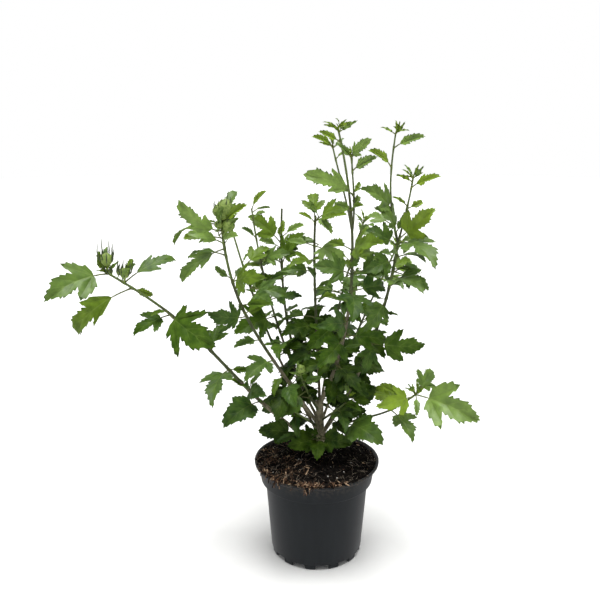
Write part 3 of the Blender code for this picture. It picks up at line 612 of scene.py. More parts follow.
def chip(length, dice):
    """A torn flat splinter of bark, thin at its ragged ends."""
    width, thick = length * dice.uniform(0.09, 0.20), length * dice.uniform(0.05, 0.1)
    bend = dice.uniform(-0.12, 0.12)
    points = []
    for x, w in ((-0.5, 0.25), (-0.34, 0.8), (0.0, 1.0), (0.3, 0.85), (0.5, 0.3)):
        w *= dice.uniform(0.7, 1.1)
        for side, up in ((-0.5, -0.5), (0.5, -0.5), (0.5, 0.5), (-0.5, 0.5)):
            y = width * (w * side + bend * (2 * x) ** 2)
            points.append((length * x, y, LITTER_LIFT + thick * up * w))
    return points, tube_faces(5, 4)


def fibre(length, dice):
    """A thin curled straw."""
    way, at, path = dice.uniform(-0.5, 0.5), Vector((-length / 2, 0.0, LITTER_LIFT)), []
    for _ in FIBRE_TAPER:
        path.append(at.copy())
        way += dice.uniform(-0.45, 0.45)
        at += Vector((math.cos(way), math.sin(way), dice.uniform(-0.18, 0.22))) * length / 5
    return mesh_of(*tube(path, [length * FIBRE_RADIUS * taper for taper in FIBRE_TAPER], 3))


litter = Geometry("litter", Pieces="Collection", Density="Float", Weight="String", Seed="Int",
                  Smallest="Float", Largest="Float", Tilt="Float", Finish="Material")
thickness = litter.node(
    "GeometryNodeInputNamedAttribute", {"data_type": "FLOAT"}, {"Name": litter.take("Weight")},
)
strewn = litter.node("GeometryNodeDistributePointsOnFaces", {}, {
    "Mesh": litter.take("Geometry"), "Seed": litter.take("Seed"),
    "Density": thickness * litter.take("Density"),
})
tilt = litter.take("Tilt")
spin = litter.node("FunctionNodeRandomValue", {"data_type": "FLOAT_VECTOR"}, {
    0: litter.node("ShaderNodeCombineXYZ", {}, {"X": 0.0 - tilt, "Y": 0.0 - tilt, "Z": 0.0}),
    1: litter.node("ShaderNodeCombineXYZ", {}, {"X": tilt, "Y": tilt, "Z": 2 * math.pi}),
    "Seed": litter.take("Seed"),
})
turning = litter.node("FunctionNodeEulerToRotation", {}, {"Euler": spin})
aligned = Value(litter, strewn.socket.node.outputs["Rotation"])
way = litter.node(
    "FunctionNodeRotateRotation", {"rotation_space": "LOCAL"}, {"Rotation": aligned, "Rotate By": turning},
)
size = litter.node("FunctionNodeRandomValue", {"data_type": "FLOAT"}, {
    2: litter.take("Smallest"), 3: litter.take("Largest"), "Seed": litter.take("Seed") + 7,
}, 1)
shapes = litter.node("GeometryNodeCollectionInfo", {}, {
    "Collection": litter.take("Pieces"), "Separate Children": True, "Reset Children": True,
})
laid = litter.node("GeometryNodeInstanceOnPoints", {}, {
    "Points": strewn, "Instance": shapes, "Pick Instance": True, "Rotation": way, "Scale": size,
})
litter.close(laid, litter.take("Finish"))


def strew(name, shapes, weight, density, sizes, tilt, seed, finish):
    """Strews copies of some shapes over the soil, as one piece: so many a square metre at most."""
    group = bpy.data.collections.new(name)
    bpy.context.scene.collection.children.link(group)
    helpers = [bpy.data.objects.new("helper", mesh) for mesh in shapes]
    for helper in helpers:
        group.objects.link(helper)
    piece = litter.run(name, ground, Pieces=group, Density=density, Weight=weight, Seed=seed,
                       Smallest=sizes[0], Largest=sizes[1], Tilt=tilt, Finish=finish)
    remove(*helpers)
    bpy.data.collections.remove(group)
    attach(piece, "root")


def chip_finish(name, dark, light, rough=0.8):
    """A woody finish whose tone changes from chip to chip, with a fine grain."""
    wood = Finish(name)
    fine = wood.noise(2600, 2)
    colour = wood.ramp(wood.noise(230, 1) + (fine - 0.5) * 0.25, (0.36, dark), (0.64, light))
    return wood.surface(Base_Color=colour, Roughness=rough, Specular_IOR_Level=0.25,
                        Normal=wood.bump(fine, 0.0003))


def chips(length):
    """Six chips of about that length."""
    return [mesh_of(*chip(length, dice), sharp=40) for _ in range(6)]


def fibres():
    """Six fibres."""
    return [fibre(FIBRE_LENGTH, dice) for _ in range(6)]


dice = random.Random(LITTER_SEED)
crumbs = [lump(CRUMB_SIZE, dice) for _ in range(4)]
strew("soil_crumbs", crumbs, "grains", 62000, (0.35, 1.3), 3.0, 11, peat_soil)
brown_bark = chip_finish("brown_bark_chips", (0.010, 0.006, 0.004), (0.12, 0.058, 0.030))
strew("bark_chips", chips(CHIP_LENGTH), "chips", 130000, (0.3, 1.0), 0.7, 3, brown_bark)
straw = chip_finish("straw_chips", (0.14, 0.080, 0.042), (0.60, 0.42, 0.27), 0.7)
strew("straw_chips", chips(STRAW_LENGTH), "chips", 38000, (0.2, 0.8), 0.6, 21, straw)
brown_fibre = chip_finish("brown_fibres", (0.030, 0.016, 0.009), (0.23, 0.130, 0.070), 0.75)
strew("brown_fibres", fibres(), "chips", 150000, (0.3, 1.0), 0.7, 17, brown_fibre)
pale_fibre = chip_finish("pale_fibres", (0.09, 0.070, 0.052), (0.46, 0.38, 0.29), 0.75)
strew("straw_fibres", fibres(), "fibres", 46000, (0.25, 1.0), 0.5, 8, pale_fibre)
# Splinters spilt over the lip: where each drift starts and ends, in degrees in plan, how many it
# has, and the share of them that hang down outside.
DRIFTS = (
    (-150, -120, 80, 0.1), (-133, -124, 18, 0.8), (-114, -84, 80, 0.05), (-102, -96, 20, 0.8),
    (-84, -62, 30, 0.0),
)
# The least and most that a splinter lies out from the lip and above it, and how steeply, in radians.
LYING = ((-0.007, 0.001), (0.0005, 0.004), (-0.2, 0.5))
HANGING = ((0.0012, 0.0012), (-0.0075, 0.001), (0.5, 1.6))
spilt_litter = Heap()
for start, end, count, hanging in DRIFTS:
    for _ in range(count):
        heading = math.radians(dice.uniform(start, end))
        hangs = dice.random() < hanging
        out, up, steepness = HANGING if hangs else LYING
        radius = LIP_RADIUS + (out[0] if hangs else dice.uniform(*out))
        height = POT_HEIGHT + dice.uniform(*up)
        pitch = dice.uniform(*steepness)
        turn = Euler((dice.uniform(-0.4, 0.4), pitch, heading + dice.uniform(-1.3, 1.3))).to_matrix()
        points, faces = chip(CHIP_LENGTH * dice.uniform(0.4, 1.2), dice)
        spot = polar(radius, heading, height)
        turned_points = [turn @ Vector(point) + spot for point in points]
        spilt_litter.add(turned_points, faces, dice.choice((0, 0, 1, 2)))
spilt = spilt_litter.piece("spilt_splinters", [brown_bark, straw, peat_soil], 40)
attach(spilt, "root")
grit = Finish("perlite")
perlite = grit.surface(
    Base_Color=grit.ramp(grit.noise(1500, 3), (0.3, (0.45, 0.43, 0.39)), (0.7, (0.75, 0.74, 0.70))),
    Roughness=0.8, Normal=grit.bump(grit.noise(3000, 2), 0.0003),
)
grains = [lump(GRIT_SIZE, dice, 2) for _ in range(2)]
strew("perlite_grains", grains, "grains", 2200, (0.5, 1.5), 3.0, 14, perlite)
remove(ground)


# --------------------------------------
# The trunk and its boughs: a short woody stem that flares at the soil, with eleven boughs that
# spring from it within a hand's breadth and a pruned stub. The bark is grey-brown, roughened by
# shallow furrows that run with the wood. Trunk and boughs are one growth.
TRUNK_LEAN = Vector((0.0, -0.05, 1.0))
TRUNK_HEIGHT = 0.076
TRUNK_RADIUS = 0.0070
TRUNK_TOP_RADIUS = 0.0046
FLARE = 0.0042
FLARE_HEIGHT = 0.014
ROOT_COUNT = 5
ROOT_SHARE = 0.25
CROWN_SHARE = 0.75
TRUNK_CROWDING = 1.4
TRUNK_RINGS = 9
TRUNK_SIDES = 12
TRUNK_STATIONS = 34
BARK_SIDES = 20
BOUGH_STATIONS = 26
COLLAR = 0.0011  # swelling where a bough leaves the trunk
COLLAR_LENGTH = 0.007
BARK_GRID = 0.00055
TRUNK_SUNK = 0.003  # how far its middle line starts below the soil
STUB_FOOT = 0.060
STUB_WAY = (-150, 52)  # heading and rise
STUB_LENGTH = 0.0155
STUB_RADII = (0.0036,) * 7 + (0.0034, 0.0030)
FURROW_LENGTH = 0.011
FURROW = 0.055  # depth of the furrows as a share of the limb's radius
OVERLAP = 0.004  # that a bough runs on inside the shoot beyond it

# A stem: its foot is a height on the trunk above the soil, or a share of the stem it springs from.
# Heading, lean and radius are given at its foot and tip, and sway bends it to and fro between. Up
# to bare it is a bough, and beyond that the stem of a leafy shoot, which the leaf rule dresses
# from its foot to ruled.
Stem = namedtuple("Stem", "parent foot heading lean sway length radius bare ruled", defaults=(0.0, 0.0))
STEMS = {
    "arch": Stem(None, 0.004, (-158, -169), (43, 49), 7, 0.382, (0.0030, 0.0013), 0.27, 0.0),
    "left": Stem(None, 0.034, (-159, -160), (40, 9), -5, 0.320, (0.0026, 0.0015), 0.20, 0.0),
    "left_back": Stem(None, 0.020, (160, 142), (33, 19), 0, 0.325, (0.0020, 0.0012), 0.30, 0.42),
    "back_left": Stem(None, 0.040, (146, 118), (36, 17), 0, 0.315, (0.0020, 0.0012), 0.30, 0.52),
    "cut_back": Stem(None, 0.056, (135, 82), (45, 10), 0, 0.300, (0.0021, 0.0015), 0.28, 0.50),
    "cut_middle": Stem(None, 0.062, (92, 113), (30, -7), 0, 0.265, (0.0021, 0.0015), 0.28, 0.50),
    "back_right": Stem(None, 0.046, (75, 45), (26, 28), 0, 0.285, (0.0019, 0.0011), 0.24, 0.80),
    "right_back": Stem(None, 0.032, (49, 35), (32, 34), 0, 0.280, (0.0019, 0.0011), 0.24, 0.66),
    "right": Stem(None, 0.016, (-28, 23), (33, 7), 0, 0.300, (0.0026, 0.0017), 0.32, 0.0),
    "low_right": Stem(None, 0.008, (-27, -20), (51, 59), -12, 0.165, (0.0018, 0.0011), 0.24, 0.0),
    "leader": Stem(None, 0.068, (-42, -54), (29, -22), 0, 0.378, (0.0026, 0.0012), 0.12, 0.30),
    "leader_twig_left": Stem("leader", 0.66, (98, 131), (41, 20), 0, 0.118, (0.0014, 0.0010)),
    "leader_twig_front": Stem("leader", 0.66, (-145, -101), (-10, 24), 0, 0.095, (0.0014, 0.0010)),
    "right_tall": Stem("right", 0.985, (161, 24), (16, 8), 0, 0.139, (0.0016, 0.0010)),
    "right_short": Stem("right", 0.985, (-46, -80), (17, 20), 0, 0.088, (0.0015, 0.0010)),
    "sprig_front": Stem(None, 0.008, (-95, -95), (46, 58), 0, 0.028, (0.0016, 0.0012)),
    "sprig_corner": Stem(None, 0.018, (-136, -160), (66, 72), 0, 0.040, (0.0016, 0.0012)),
    "sprig_low_left": Stem(None, 0.031, (-132, -148), (52, 50), 0, 0.060, (0.0017, 0.0012)),
    "sprig_low_right": Stem(None, 0.041, (-46, -40), (52, 46), 0, 0.058, (0.0017, 0.0012)),
    "sprig_bud": Stem(None, 0.055, (-128, -140), (40, 22), 0, 0.076, (0.0018, 0.0012)),
    "sprig_back": Stem(None, 0.012, (112, 120), (58, 50), 0, 0.070, (0.0017, 0.0012)),
    "sprig_back_right": Stem(None, 0.016, (58, 48), (58, 50), 0, 0.066, (0.0017, 0.0012)),
}
PATH_STEPS = 32


def heading_vector(heading, rise):
    """The unit vector at a heading in plan and a rise above the level."""
    across = math.cos(math.radians(rise))
    plan = math.radians(heading)
    return Vector((across * math.cos(plan), across * math.sin(plan), math.sin(math.radians(rise))))


def trunk_point(height):
    """The trunk's axis at a height above the soil."""
    return TRUNK_FOOT + TRUNK_LEAN * height


def trunk_radius(height, angle):
    """The trunk's radius: a taper, with root swellings that die out a little above the soil."""
    share = min(1.0, height / TRUNK_HEIGHT)
    radius = TRUNK_RADIUS + (TRUNK_TOP_RADIUS - TRUNK_RADIUS) * share
    flare = FLARE * math.exp(-max(0.0, height) / FLARE_HEIGHT)
    return radius + flare * (1.0 - ROOT_SHARE + ROOT_SHARE * math.cos(ROOT_COUNT * angle))


def trunk_shape(rings, sides, foot=0.0):
    """Points and faces of the trunk, from a height below or at the soil to its rounded top."""
    points = []
    for ring in range(rings):
        height = foot + (TRUNK_HEIGHT - foot) * (ring / (rings - 1)) ** TRUNK_CROWDING
        for side in range(sides):
            angle = 2 * math.pi * side / sides
            radius = trunk_radius(height, angle)
            if ring == rings - 1:
                radius *= CROWN_SHARE
            points.append(trunk_point(height) + radius * Vector((math.cos(angle), math.sin(angle), 0.0)))
    return points, tube_faces(rings, sides)


def stem_path(name):
    """Points along a stem, which turns evenly from its first heading and lean to its last."""
    stem = STEMS[name]
    point = trunk_point(stem.foot) if stem.parent is None else along_stem(stem.parent, stem.foot)
    path = [point]
    step = stem.length / PATH_STEPS
    for index in range(PATH_STEPS):
        share = (index + 0.5) / PATH_STEPS
        heading = stem.heading[0] + (stem.heading[1] - stem.heading[0]) * share
        lean = stem.lean[0] + (stem.lean[1] - stem.lean[0]) * share
        lean += stem.sway * math.cos(2 * math.pi * share)
        path.append(path[-1] + step * heading_vector(heading, 90.0 - lean))
    return path


PATHS = {}


def along_stem(name, share):
    """The point at a share of a stem's length."""
    if name not in PATHS:
        PATHS[name] = stem_path(name)
    place = held(share) * PATH_STEPS
    index = min(int(place), PATH_STEPS - 1)
    return PATHS[name][index].lerp(PATHS[name][index + 1], place - index)


def stem_radius(name, share):
    """The stem's radius at a share of its length."""
    first, last = STEMS[name].radius
    return first + (last - first) * share


def stem_piece(name, first, last, rings, sides):
    """Points and faces of a stretch of a stem."""
    shares = [first + (last - first) * ring / (rings - 1) for ring in range(rings)]
    path = [along_stem(name, share) for share in shares]
    return tube(path, [stem_radius(name, share) for share in shares], sides)


def bough_line(name):
    """The middle line and radii of a bough, with the collar round its foot."""
    stem = STEMS[name]
    last = stem.bare + OVERLAP / stem.length
    path, radii = [], []
    for station in range(BOUGH_STATIONS):
        share = last * station / (BOUGH_STATIONS - 1)
        out = max(0.0, share * stem.length - TRUNK_RADIUS * 0.8)
        path.append(along_stem(name, share))
        inside_shoot = 0.9 if share > stem.bare else 1.0
        radii.append(inside_shoot * stem_radius(name, share) + COLLAR * math.exp(-out / COLLAR_LENGTH))
    return path, radii


stub_foot, stub_way = trunk_point(STUB_FOOT), heading_vector(*STUB_WAY)
trunk_line = [trunk_point((TRUNK_HEIGHT + TRUNK_SUNK) * i / 40 - TRUNK_SUNK) for i in range(41)]
limbs = {"trunk": (trunk_line, [TRUNK_RADIUS] * len(trunk_line))}
limbs.update((name, bough_line(name)) for name, stem in STEMS.items() if stem.bare)
stub_line = [stub_foot + stub_way * STUB_LENGTH * i / (len(STUB_RADII) - 1) for i in range(len(STUB_RADII))]
limbs["stub"] = (stub_line, STUB_RADII)
rough_heap = Heap()
rough_heap.add(*trunk_shape(TRUNK_STATIONS, BARK_SIDES * 2, -0.004), 0)
for name, (path, radii) in limbs.items():
    if name != "trunk":
        rough_heap.add(*tube(path, radii, BARK_SIDES), 0)
rough = rough_heap.piece("rough", (), None)
fused = rough.modifiers.new("fuse", "REMESH")
fused.mode = "VOXEL"
fused.voxel_size = BARK_GRID
smooth = rough.modifiers.new("soften", "SMOOTH")
smooth.factor, smooth.iterations = 0.5, 4
graph = bpy.context.evaluated_depsgraph_get()
graph.update()
wood = bpy.data.meshes.new_from_object(rough.evaluated_get(graph))
remove(rough)

stations = []
for order, (name, (path, radii)) in enumerate(limbs.items()):
    run = 0.0
    for index, (centre, radius, (along, across)) in enumerate(zip(path, radii, frames(path))):
        run += (centre - path[index - 1]).length if index else 0.0
        stations.append((centre, along, across, run, radius, 10.0 * order))
nearest = KDTree(len(stations))
for index, station in enumerate(stations):
    nearest.insert(station[0], index)
nearest.balance()
relief = np.zeros(len(wood.vertices))
for index, vert in enumerate(wood.vertices):
    centre, along, across, run, radius, start = stations[nearest.find(vert.co)[1]]
    away = vert.co - centre
    turn = math.atan2(away.dot(along.cross(across)), away.dot(across))
    reach = (run + away.dot(along)) / FURROW_LENGTH
    girth = 1.1 + 220 * radius
    coarse = noise.noise(polar(girth, turn, reach + start))
    fine = noise.noise(polar(2.3 * girth, turn, 2.6 * reach + start))
    lumps = noise.noise(vert.co * 190)
    relief[index] = radius * FURROW * (0.5 - 2.4 * abs(coarse) - 1.0 * abs(fine) + 1.1 * lumps)
edges = np.array([edge.vertices[:] for edge in wood.edges])
for _ in range(2):
    total, count = relief.copy(), np.ones(len(relief))
    for a, b in ((0, 1), (1, 0)):
        np.add.at(total, edges[:, a], relief[edges[:, b]])
        np.add.at(count, edges[:, a], 1)
    relief = total / count
spots = np.array([vert.co[:] for vert in wood.vertices])
outward = np.array([vert.normal[:] for vert in wood.vertices])
wood.vertices.foreach_set("co", (spots + outward * relief[:, None]).ravel())

bark = Finish("grey_brown_bark")
broad = bark.noise(130, 4)
grain = bark.noise(900, 4, (1.0, 1.0, 0.22))
cells = bark.node("ShaderNodeTexVoronoi", {}, {"Vector": bark.place, "Scale": 380})
lenticels = (0.16 - cells > 0.0) * 0.5
pattern = broad * 0.55 + grain * 0.45
wood_tone = bark.ramp(pattern, (0.36, (0.100, 0.087, 0.055)), (0.62, (0.285, 0.262, 0.168)))
grey_bark = bark.surface(
    Base_Color=bark.blend(lenticels, wood_tone, (0.36, 0.31, 0.24)),
    Roughness=0.85,
    Specular_IOR_Level=0.3,
    Normal=bark.bump(grain + lenticels * 0.6 + broad * 0.4, 0.0006),
)
wood.materials.clear()
wood.materials.append(grey_bark)
wood.shade_smooth()
trunk_and_boughs = add_object("trunk_and_boughs", wood)
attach(trunk_and_boughs, "root")
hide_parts("trunk", *("bough_" + name for name, stem in STEMS.items() if stem.bare))


# --------------------------------------
# The order of the leaves: every stem carries the leaves that shape the shrub's outline, a whorl
# of young ones at its growing tip, and leaves that follow each other round it at every joint.
# A leaf takes a place that clears its neighbours, and small side shoots fill the joints.
Leaf = namedtuple("Leaf", "share heading rise length roll")
# The shaping leaves of each stem, with share and length in thousandths of the stem and of a metre.
MARKED = {
    "arch": [
        (980, -142, -13, 86, 15), (895, -180, -39, 98), (925, 30, 19, 74), (765, -30, -26, 84, -10),
        (745, -148, -21, 55), (560, 70, 30, 50), (465, -104, -17, 76), (360, -60, 10, 48),
        (300, -136, -13, 68), (985, 100, 70, 34), (985, -160, 72, 30), (985, -20, 68, 26), (560, 60, 62, 34),
        (930, -60, 40, 34),
    ],
    "left": [
        (970, -137, 33, 76, 48), (970, 60, 55, 59), (990, 160, -20, 75, -55), (900, -150, -30, 70),
        (920, -145, 20, 50), (920, -65, 20, 50), (760, -45, 15, 64), (610, -145, 13, 58, 50),
        (490, -135, 0, 45), (980, -80, 50, 40), (380, -125, -8, 63), (250, -108, -35, 60),
        (872, -165, 4, 52, -50), (300, -110, -20, 42), (940, -160, 4, 50), (990, -20, 40, 45),
        (660, -30, 10, 46),
    ],
    "left_back": [
        (800, 20, 55, 22), (780, 40, 25, 55), (660, -60, 0, 60), (690, -35, -12, 55), (520, 60, 10, 55),
        (720, -110, -20, 40),
    ],
    "back_left": [
        (990, -40, 48, 42), (950, -55, 25, 36), (980, 40, 10, 34, 40), (860, -135, 35, 34),
        (760, -25, 25, 50), (700, 100, 10, 60), (580, -20, 10, 50), (660, -10, 22, 46),
    ],
    "cut_back": [
        (830, -170, 40, 65), (810, 155, 15, 40), (780, -15, 28, 56), (860, 25, 25, 42), (740, 175, 10, 50),
        (660, -160, -15, 50), (440, -60, -10, 55), (720, -10, 48, 62), (730, -135, 25, 45),
    ],
    "cut_middle": [
        (970, 95, 45, 51), (960, -140, 30, 34), (970, -28, 20, 62), (840, -45, -20, 60), (760, -135, 0, 50),
        (640, -115, 50, 40), (610, -30, 30, 32), (970, -10, 12, 46), (990, -60, -20, 46), (840, 160, 5, 42),
        (420, -150, -5, 58), (300, -150, -20, 52), (560, 30, -5, 45), (700, -165, 5, 50),
    ],
    "leader": [
        (985, -20, 30, 28), (950, -160, 26, 33), (730, 60, 35, 30), (730, -130, 20, 36), (730, -65, 20, 32),
        (600, 130, 5, 46), (590, -60, 20, 70), (460, -90, -25, 60), (460, 35, 0, 60), (340, -130, 12, 62),
        (180, -60, -20, 60), (520, -165, 15, 54), (400, 100, 0, 55), (520, 20, 10, 55), (300, 10, -10, 62),
    ],
    "leader_twig_left": [(980, -145, 26, 37), (860, -40, 25, 27)],
    "leader_twig_front": [(950, -65, 30, 50), (790, -50, 26, 45), (460, -150, 22, 78), (950, -120, 35, 32)],
    "right": [
        (980, -60, -12, 80), (920, -45, 3, 50, 30), (870, 30, -5, 44), (840, -15, -18, 38), (790, -66, 9, 80),
        (740, -130, -35, 60), (530, -40, 10, 73, -28), (510, 125, -15, 55), (910, -145, -10, 56),
        (670, -40, 8, 27), (540, -120, -52, 48), (970, 170, 25, 48), (860, -50, -14, 54),
    ],
    "back_right": [(930, -70, 25, 48), (900, 60, 15, 50)],
    "right_back": [(800, -60, 0, 55), (860, 30, 10, 50), (930, -120, 20, 46), (740, 120, 0, 55)],
    "right_tall": [
        (860, -30, 22, 45), (680, -145, 34, 46), (270, -145, 35, 66), (70, -140, 45, 56, -20),
        (150, 135, 10, 50),
    ],
    "right_short": [
        (940, -155, 22, 27), (850, -45, 22, 46), (570, -155, 30, 28), (530, 35, 14, 30), (60, -30, 42, 64),
    ],
    "low_right": [
        (990, -35, -8, 92, -15), (960, -145, 0, 62), (740, -60, -25, 58), (990, 50, 32, 48),
        (310, -50, -1, 74), (840, 130, 5, 55), (900, 165, 28, 42), (990, -95, -35, 32),
    ],
    "sprig_front": [(950, -95, -10, 47), (800, -148, 2, 50), (900, -32, 6, 52)],
    "sprig_corner": [(950, -172, 8, 56), (800, -115, 8, 44)],
    "sprig_low_left": [(500, 165, 22, 38), (980, 140, 28, 46), (980, -80, -25, 46)],
    "sprig_low_right": [(400, -20, 6, 54), (720, -78, -14, 50), (980, 20, 15, 52), (980, -65, 12, 46)],
    "sprig_back": [(550, 150, 8, 45), (800, 95, 15, 55), (980, 180, 15, 45)],
    "sprig_back_right": [(600, 60, 10, 50), (950, 100, 20, 52), (950, -10, 30, 45)],
    "sprig_bud": [(420, 165, 5, 52), (620, -150, -10, 58), (820, -50, 25, 40)],
}
TUFTED = (
    "leader", "leader_twig_left", "leader_twig_front", "right_tall", "right_short", "back_right",
    "right_back", "left_back", "low_right", "arch", "sprig_bud",
)
# Leaves that spring from the bare boughs, in the heart of the shrub: the stem, then a row as above.
INNER = (
    ("left", 260, -70, -20, 50), ("back_left", 160, -85, -12, 56), ("cut_back", 220, -105, -10, 56),
    ("cut_middle", 160, -128, -10, 52), ("leader", 60, -40, -15, 44), ("right_back", 140, -60, -10, 46),
    ("right", 120, -60, -12, 42), ("right_back", 280, -30, -8, 50), ("left_back", 220, -120, -10, 52),
    ("leader", 200, -170, -10, 55), ("back_right", 200, -80, -15, 50), ("cut_middle", 260, -80, -10, 55),
    ("left_back", 100, -110, -20, 46), ("arch", 200, 120, 20, 45), ("left", 100, 150, 25, 40),
    ("right", 240, 20, 0, 46), ("cut_middle", 100, -115, -10, 46), ("back_left", 110, -60, 10, 46),
    ("cut_middle", 220, -60, -25, 50), ("leader", 130, -100, -30, 46), ("back_right", 90, -40, -5, 44),
    ("right_back", 200, -80, -25, 48), ("right", 160, -40, 8, 44), ("cut_back", 300, -60, -20, 56),
    ("back_left", 280, -100, -25, 52), ("cut_middle", 140, 60, 10, 45), ("back_left", 200, 120, 10, 50),
)
INNER_SIZES = (1.0, 0.8, 0.65)
SPUR_SHARE = 0.2  # of such a leaf, which its own bough may touch
TUFT_SHARE = 0.985  # where on its stem a tuft sits
TUFT_COUNT = 5
TUFT_LENGTH = 0.021
TUFT_SIZES = (0.7, 1.15)
TUFT_RISES = (20, 55)
TUFT_ROLL = 20
INTERNODE = 0.0225
FIRST_JOINT = 0.02  # of the stem, above its bare stretch
TURN = 137.5  # degrees from one leaf to the next round the stem
TURN_SPREAD = 15
LEAF_LENGTH = 0.080
LEAF_SIZES = (0.8, 1.08)
TIP_SHRINKAGE = 0.5  # of the length, for a leaf at the stem's tip
FOOT_RISE = -28
TIP_RISE = 17
RISE_SPREAD = 16
ROLL_SPREAD = 35
OPEN = 0.095  # under this height above the soil no leaf of the rule grows in across the trunk
INWARD = 95  # degrees from straight out, beyond which a leaf grows in
AXILLARY_CHANCE = 0.6  # of a second, smaller leaf at a joint
AXILLARY_TURNS = (45, 80)
AXILLARY_RISE = 20
AXILLARY_SIZES = (0.45, 0.65)
AXILLARY_ROLL = 30
AXILLARY_STEP = 0.01
LIGHT = Vector((0.0, -0.70, 0.50))  # where the shrub's light comes from
OUTWARD = 0.30  # how far the leaves turn their faces out from the trunk as well
LOW = 0.055  # under this height above the soil the leaves are round
YOUNG = 0.047  # under this length a leaf is narrow
WIDE_EVERY = 4
SEED = 11

# A leaf's place is kept clear of its neighbours, by one of the nudges (a turn and a lift, in
# degrees) and a smaller size if need be.
CLEARANCE = 0.0005
HIDDEN_STALK = 0.004  # of a stalk near its stem, where its neighbours may touch it
NUDGES = (
    (0, 0), (9, 0), (-9, 0), (0, 9), (0, -9), (18, 4), (-18, 4), (26, -8), (-26, -8), (0, 20), (0, -20),
)
NUDGED_SIZES = (1.0, 0.85)

# The leaf itself.
LEAF_THICKNESS = 0.02  # of the blade's length, along its middle
THINNEST_LEAF = 0.0011
STALK = 0.0008
STALK_SHARE = 0.26
TINY = 0.03  # under this length the stalk is short
TINY_STALK_SHARE = 0.2
LEAST_BEND = 22  # degrees that the midrib arches through, in the smallest leaf
BEND_GROWTH = 55  # more in a full-grown one
FULL_GROWN = 0.09

# Half outlines of the blade from its foot to its tip: along and across, as shares of its length.
FORMS = {
    "long": ((0.06, 0.17), (0.36, 0.33), (0.40, 0.16), (0.66, 0.17)),
    "wide": ((0.02, 0.26), (0.40, 0.46), (0.44, 0.21), (0.68, 0.21)),
    "round": ((0.02, 0.26), (0.32, 0.40), (0.50, 0.32), (0.74, 0.22)),
    "young": ((0.12, 0.11), (0.42, 0.20), (0.50, 0.13), (0.70, 0.12)),
}
RIB_SHARES = (0.30, 0.62)
FOLD = 0.22  # rise of the rim over the midrib, as a share of its distance from it
BOUGH_RINGS = 7
BOUGH_SIDES = 8
SHOOT_RING_SPACING = 0.03
FEWEST_SHOOT_RINGS = 4
SHOOT_SIDES = 5
GAP = 0.0003
FACET_ALLOWANCE = 0.0002


def marked_leaf(share, heading, rise, length, roll=0):
    """A leaf from a row of MARKED or INNER."""
    return Leaf(share / 1000, heading, rise, length / 1000, roll)


def leaf_axes(foot, leaf):
    """Unit vectors along a leaf, across it and out of its face, which turns to the light and outward."""
    along = heading_vector(leaf.heading, leaf.rise)
    outward = Vector((foot.x - TRUNK_FOOT.x, foot.y - TRUNK_FOOT.y, 0.0)).normalized()
    wanted = LIGHT + OUTWARD * outward
    face = (wanted - along * wanted.dot(along)).normalized()
    across = face.cross(along)
    cos, sin = math.cos(math.radians(leaf.roll)), math.sin(math.radians(leaf.roll))
    return along, across * cos - face * sin, face * cos + across * sin


def leaf_form(foot, leaf, index):
    """The form of a blade: narrow while young, round low on the shrub, and lobed between."""
    if leaf.length < YOUNG:
        return "young"
    if foot.z < TRUNK_FOOT.z + LOW:
        return "round"
    return "wide" if index % WIDE_EVERY == WIDE_EVERY - 1 else "long"


def stalk_share(leaf):
    """The stalk's share of a leaf's length."""
    return STALK_SHARE if leaf.length > TINY else TINY_STALK_SHARE


def leaf_arc(foot, leaf):
    """What lays a leaf out in space: its midrib is an arc, and old broad leaves hang most."""
    along, across, face = (np.array(axis) for axis in leaf_axes(foot, leaf))
    bend = math.radians(LEAST_BEND + BEND_GROWTH * min(1.0, leaf.length / FULL_GROWN))
    radius = 0.5 * leaf.length / math.sin(0.5 * bend)
    start = np.array(foot)

    def place(share, side, out):
        """Points at shares of the whole leaf, moved sideways and out of its face."""
        angle = bend * (0.5 - np.asarray(share, float)[:, None])
        run = radius * (math.sin(0.5 * bend) - np.sin(angle))
        lift = radius * (np.cos(angle) - math.cos(0.5 * bend))
        normal = face * np.cos(angle) - along * np.sin(angle)
        side, out = np.asarray(side, float)[:, None], np.asarray(out, float)[:, None]
        return start + run * along + lift * face + side * across + out * normal

    return place


def leaf_solid(foot, leaf, form, extra, start=0.0):
    """The space that a leaf takes: a folded blade of few faces, grown outward all round by extra."""
    first = stalk_share(leaf)
    blade = leaf.length * (1.0 - first)
    half = 0.5 * max(THINNEST_LEAF, LEAF_THICKNESS * blade) + extra
    stalk = STALK + extra
    rows = []
    for share in (start / leaf.length, first):
        rows += [(share, stalk, 0), (share, 0, stalk), (share, -stalk, 0), (share, 0, -stalk)]
    for u, w in FORMS[form]:
        share, side = first + (1.0 - first) * u, w * blade + extra
        rows += [(share, side, FOLD * side), (share, -side, FOLD * side)]
    for u in RIB_SHARES:
        share = first + (1.0 - first) * u
        rows += [(share, 0, half), (share, 0, -half)]
    rows.append((1.0 + extra / leaf.length, 0, 0))
    tip = len(rows) - 1
    faces = [(0, 1, 2, 3)]
    for side in range(4):
        after = (side + 1) % 4
        faces.append((side, after, 4 + after, 4 + side))
    for side, stalk_side in ((0, 4), (1, 6)):
        rim = [stalk_side] + [8 + 2 * index + side for index in range(4)]
        for level, stalk_level in ((0, 5), (1, 7)):
            rib, rib_end = 16 + level, 18 + level
            faces += [(rim[0], stalk_level, rim[1]), (rim[1], stalk_level, rib), (rim[1], rib, rim[2])]
            faces += [(rim[2], rib, rim[3]), (rim[3], rib, rib_end), (rim[3], rib_end, rim[4])]
            faces.append((rim[4], rib_end, tip))
    return [Vector(point) for point in leaf_arc(foot, leaf)(*zip(*rows))], faces


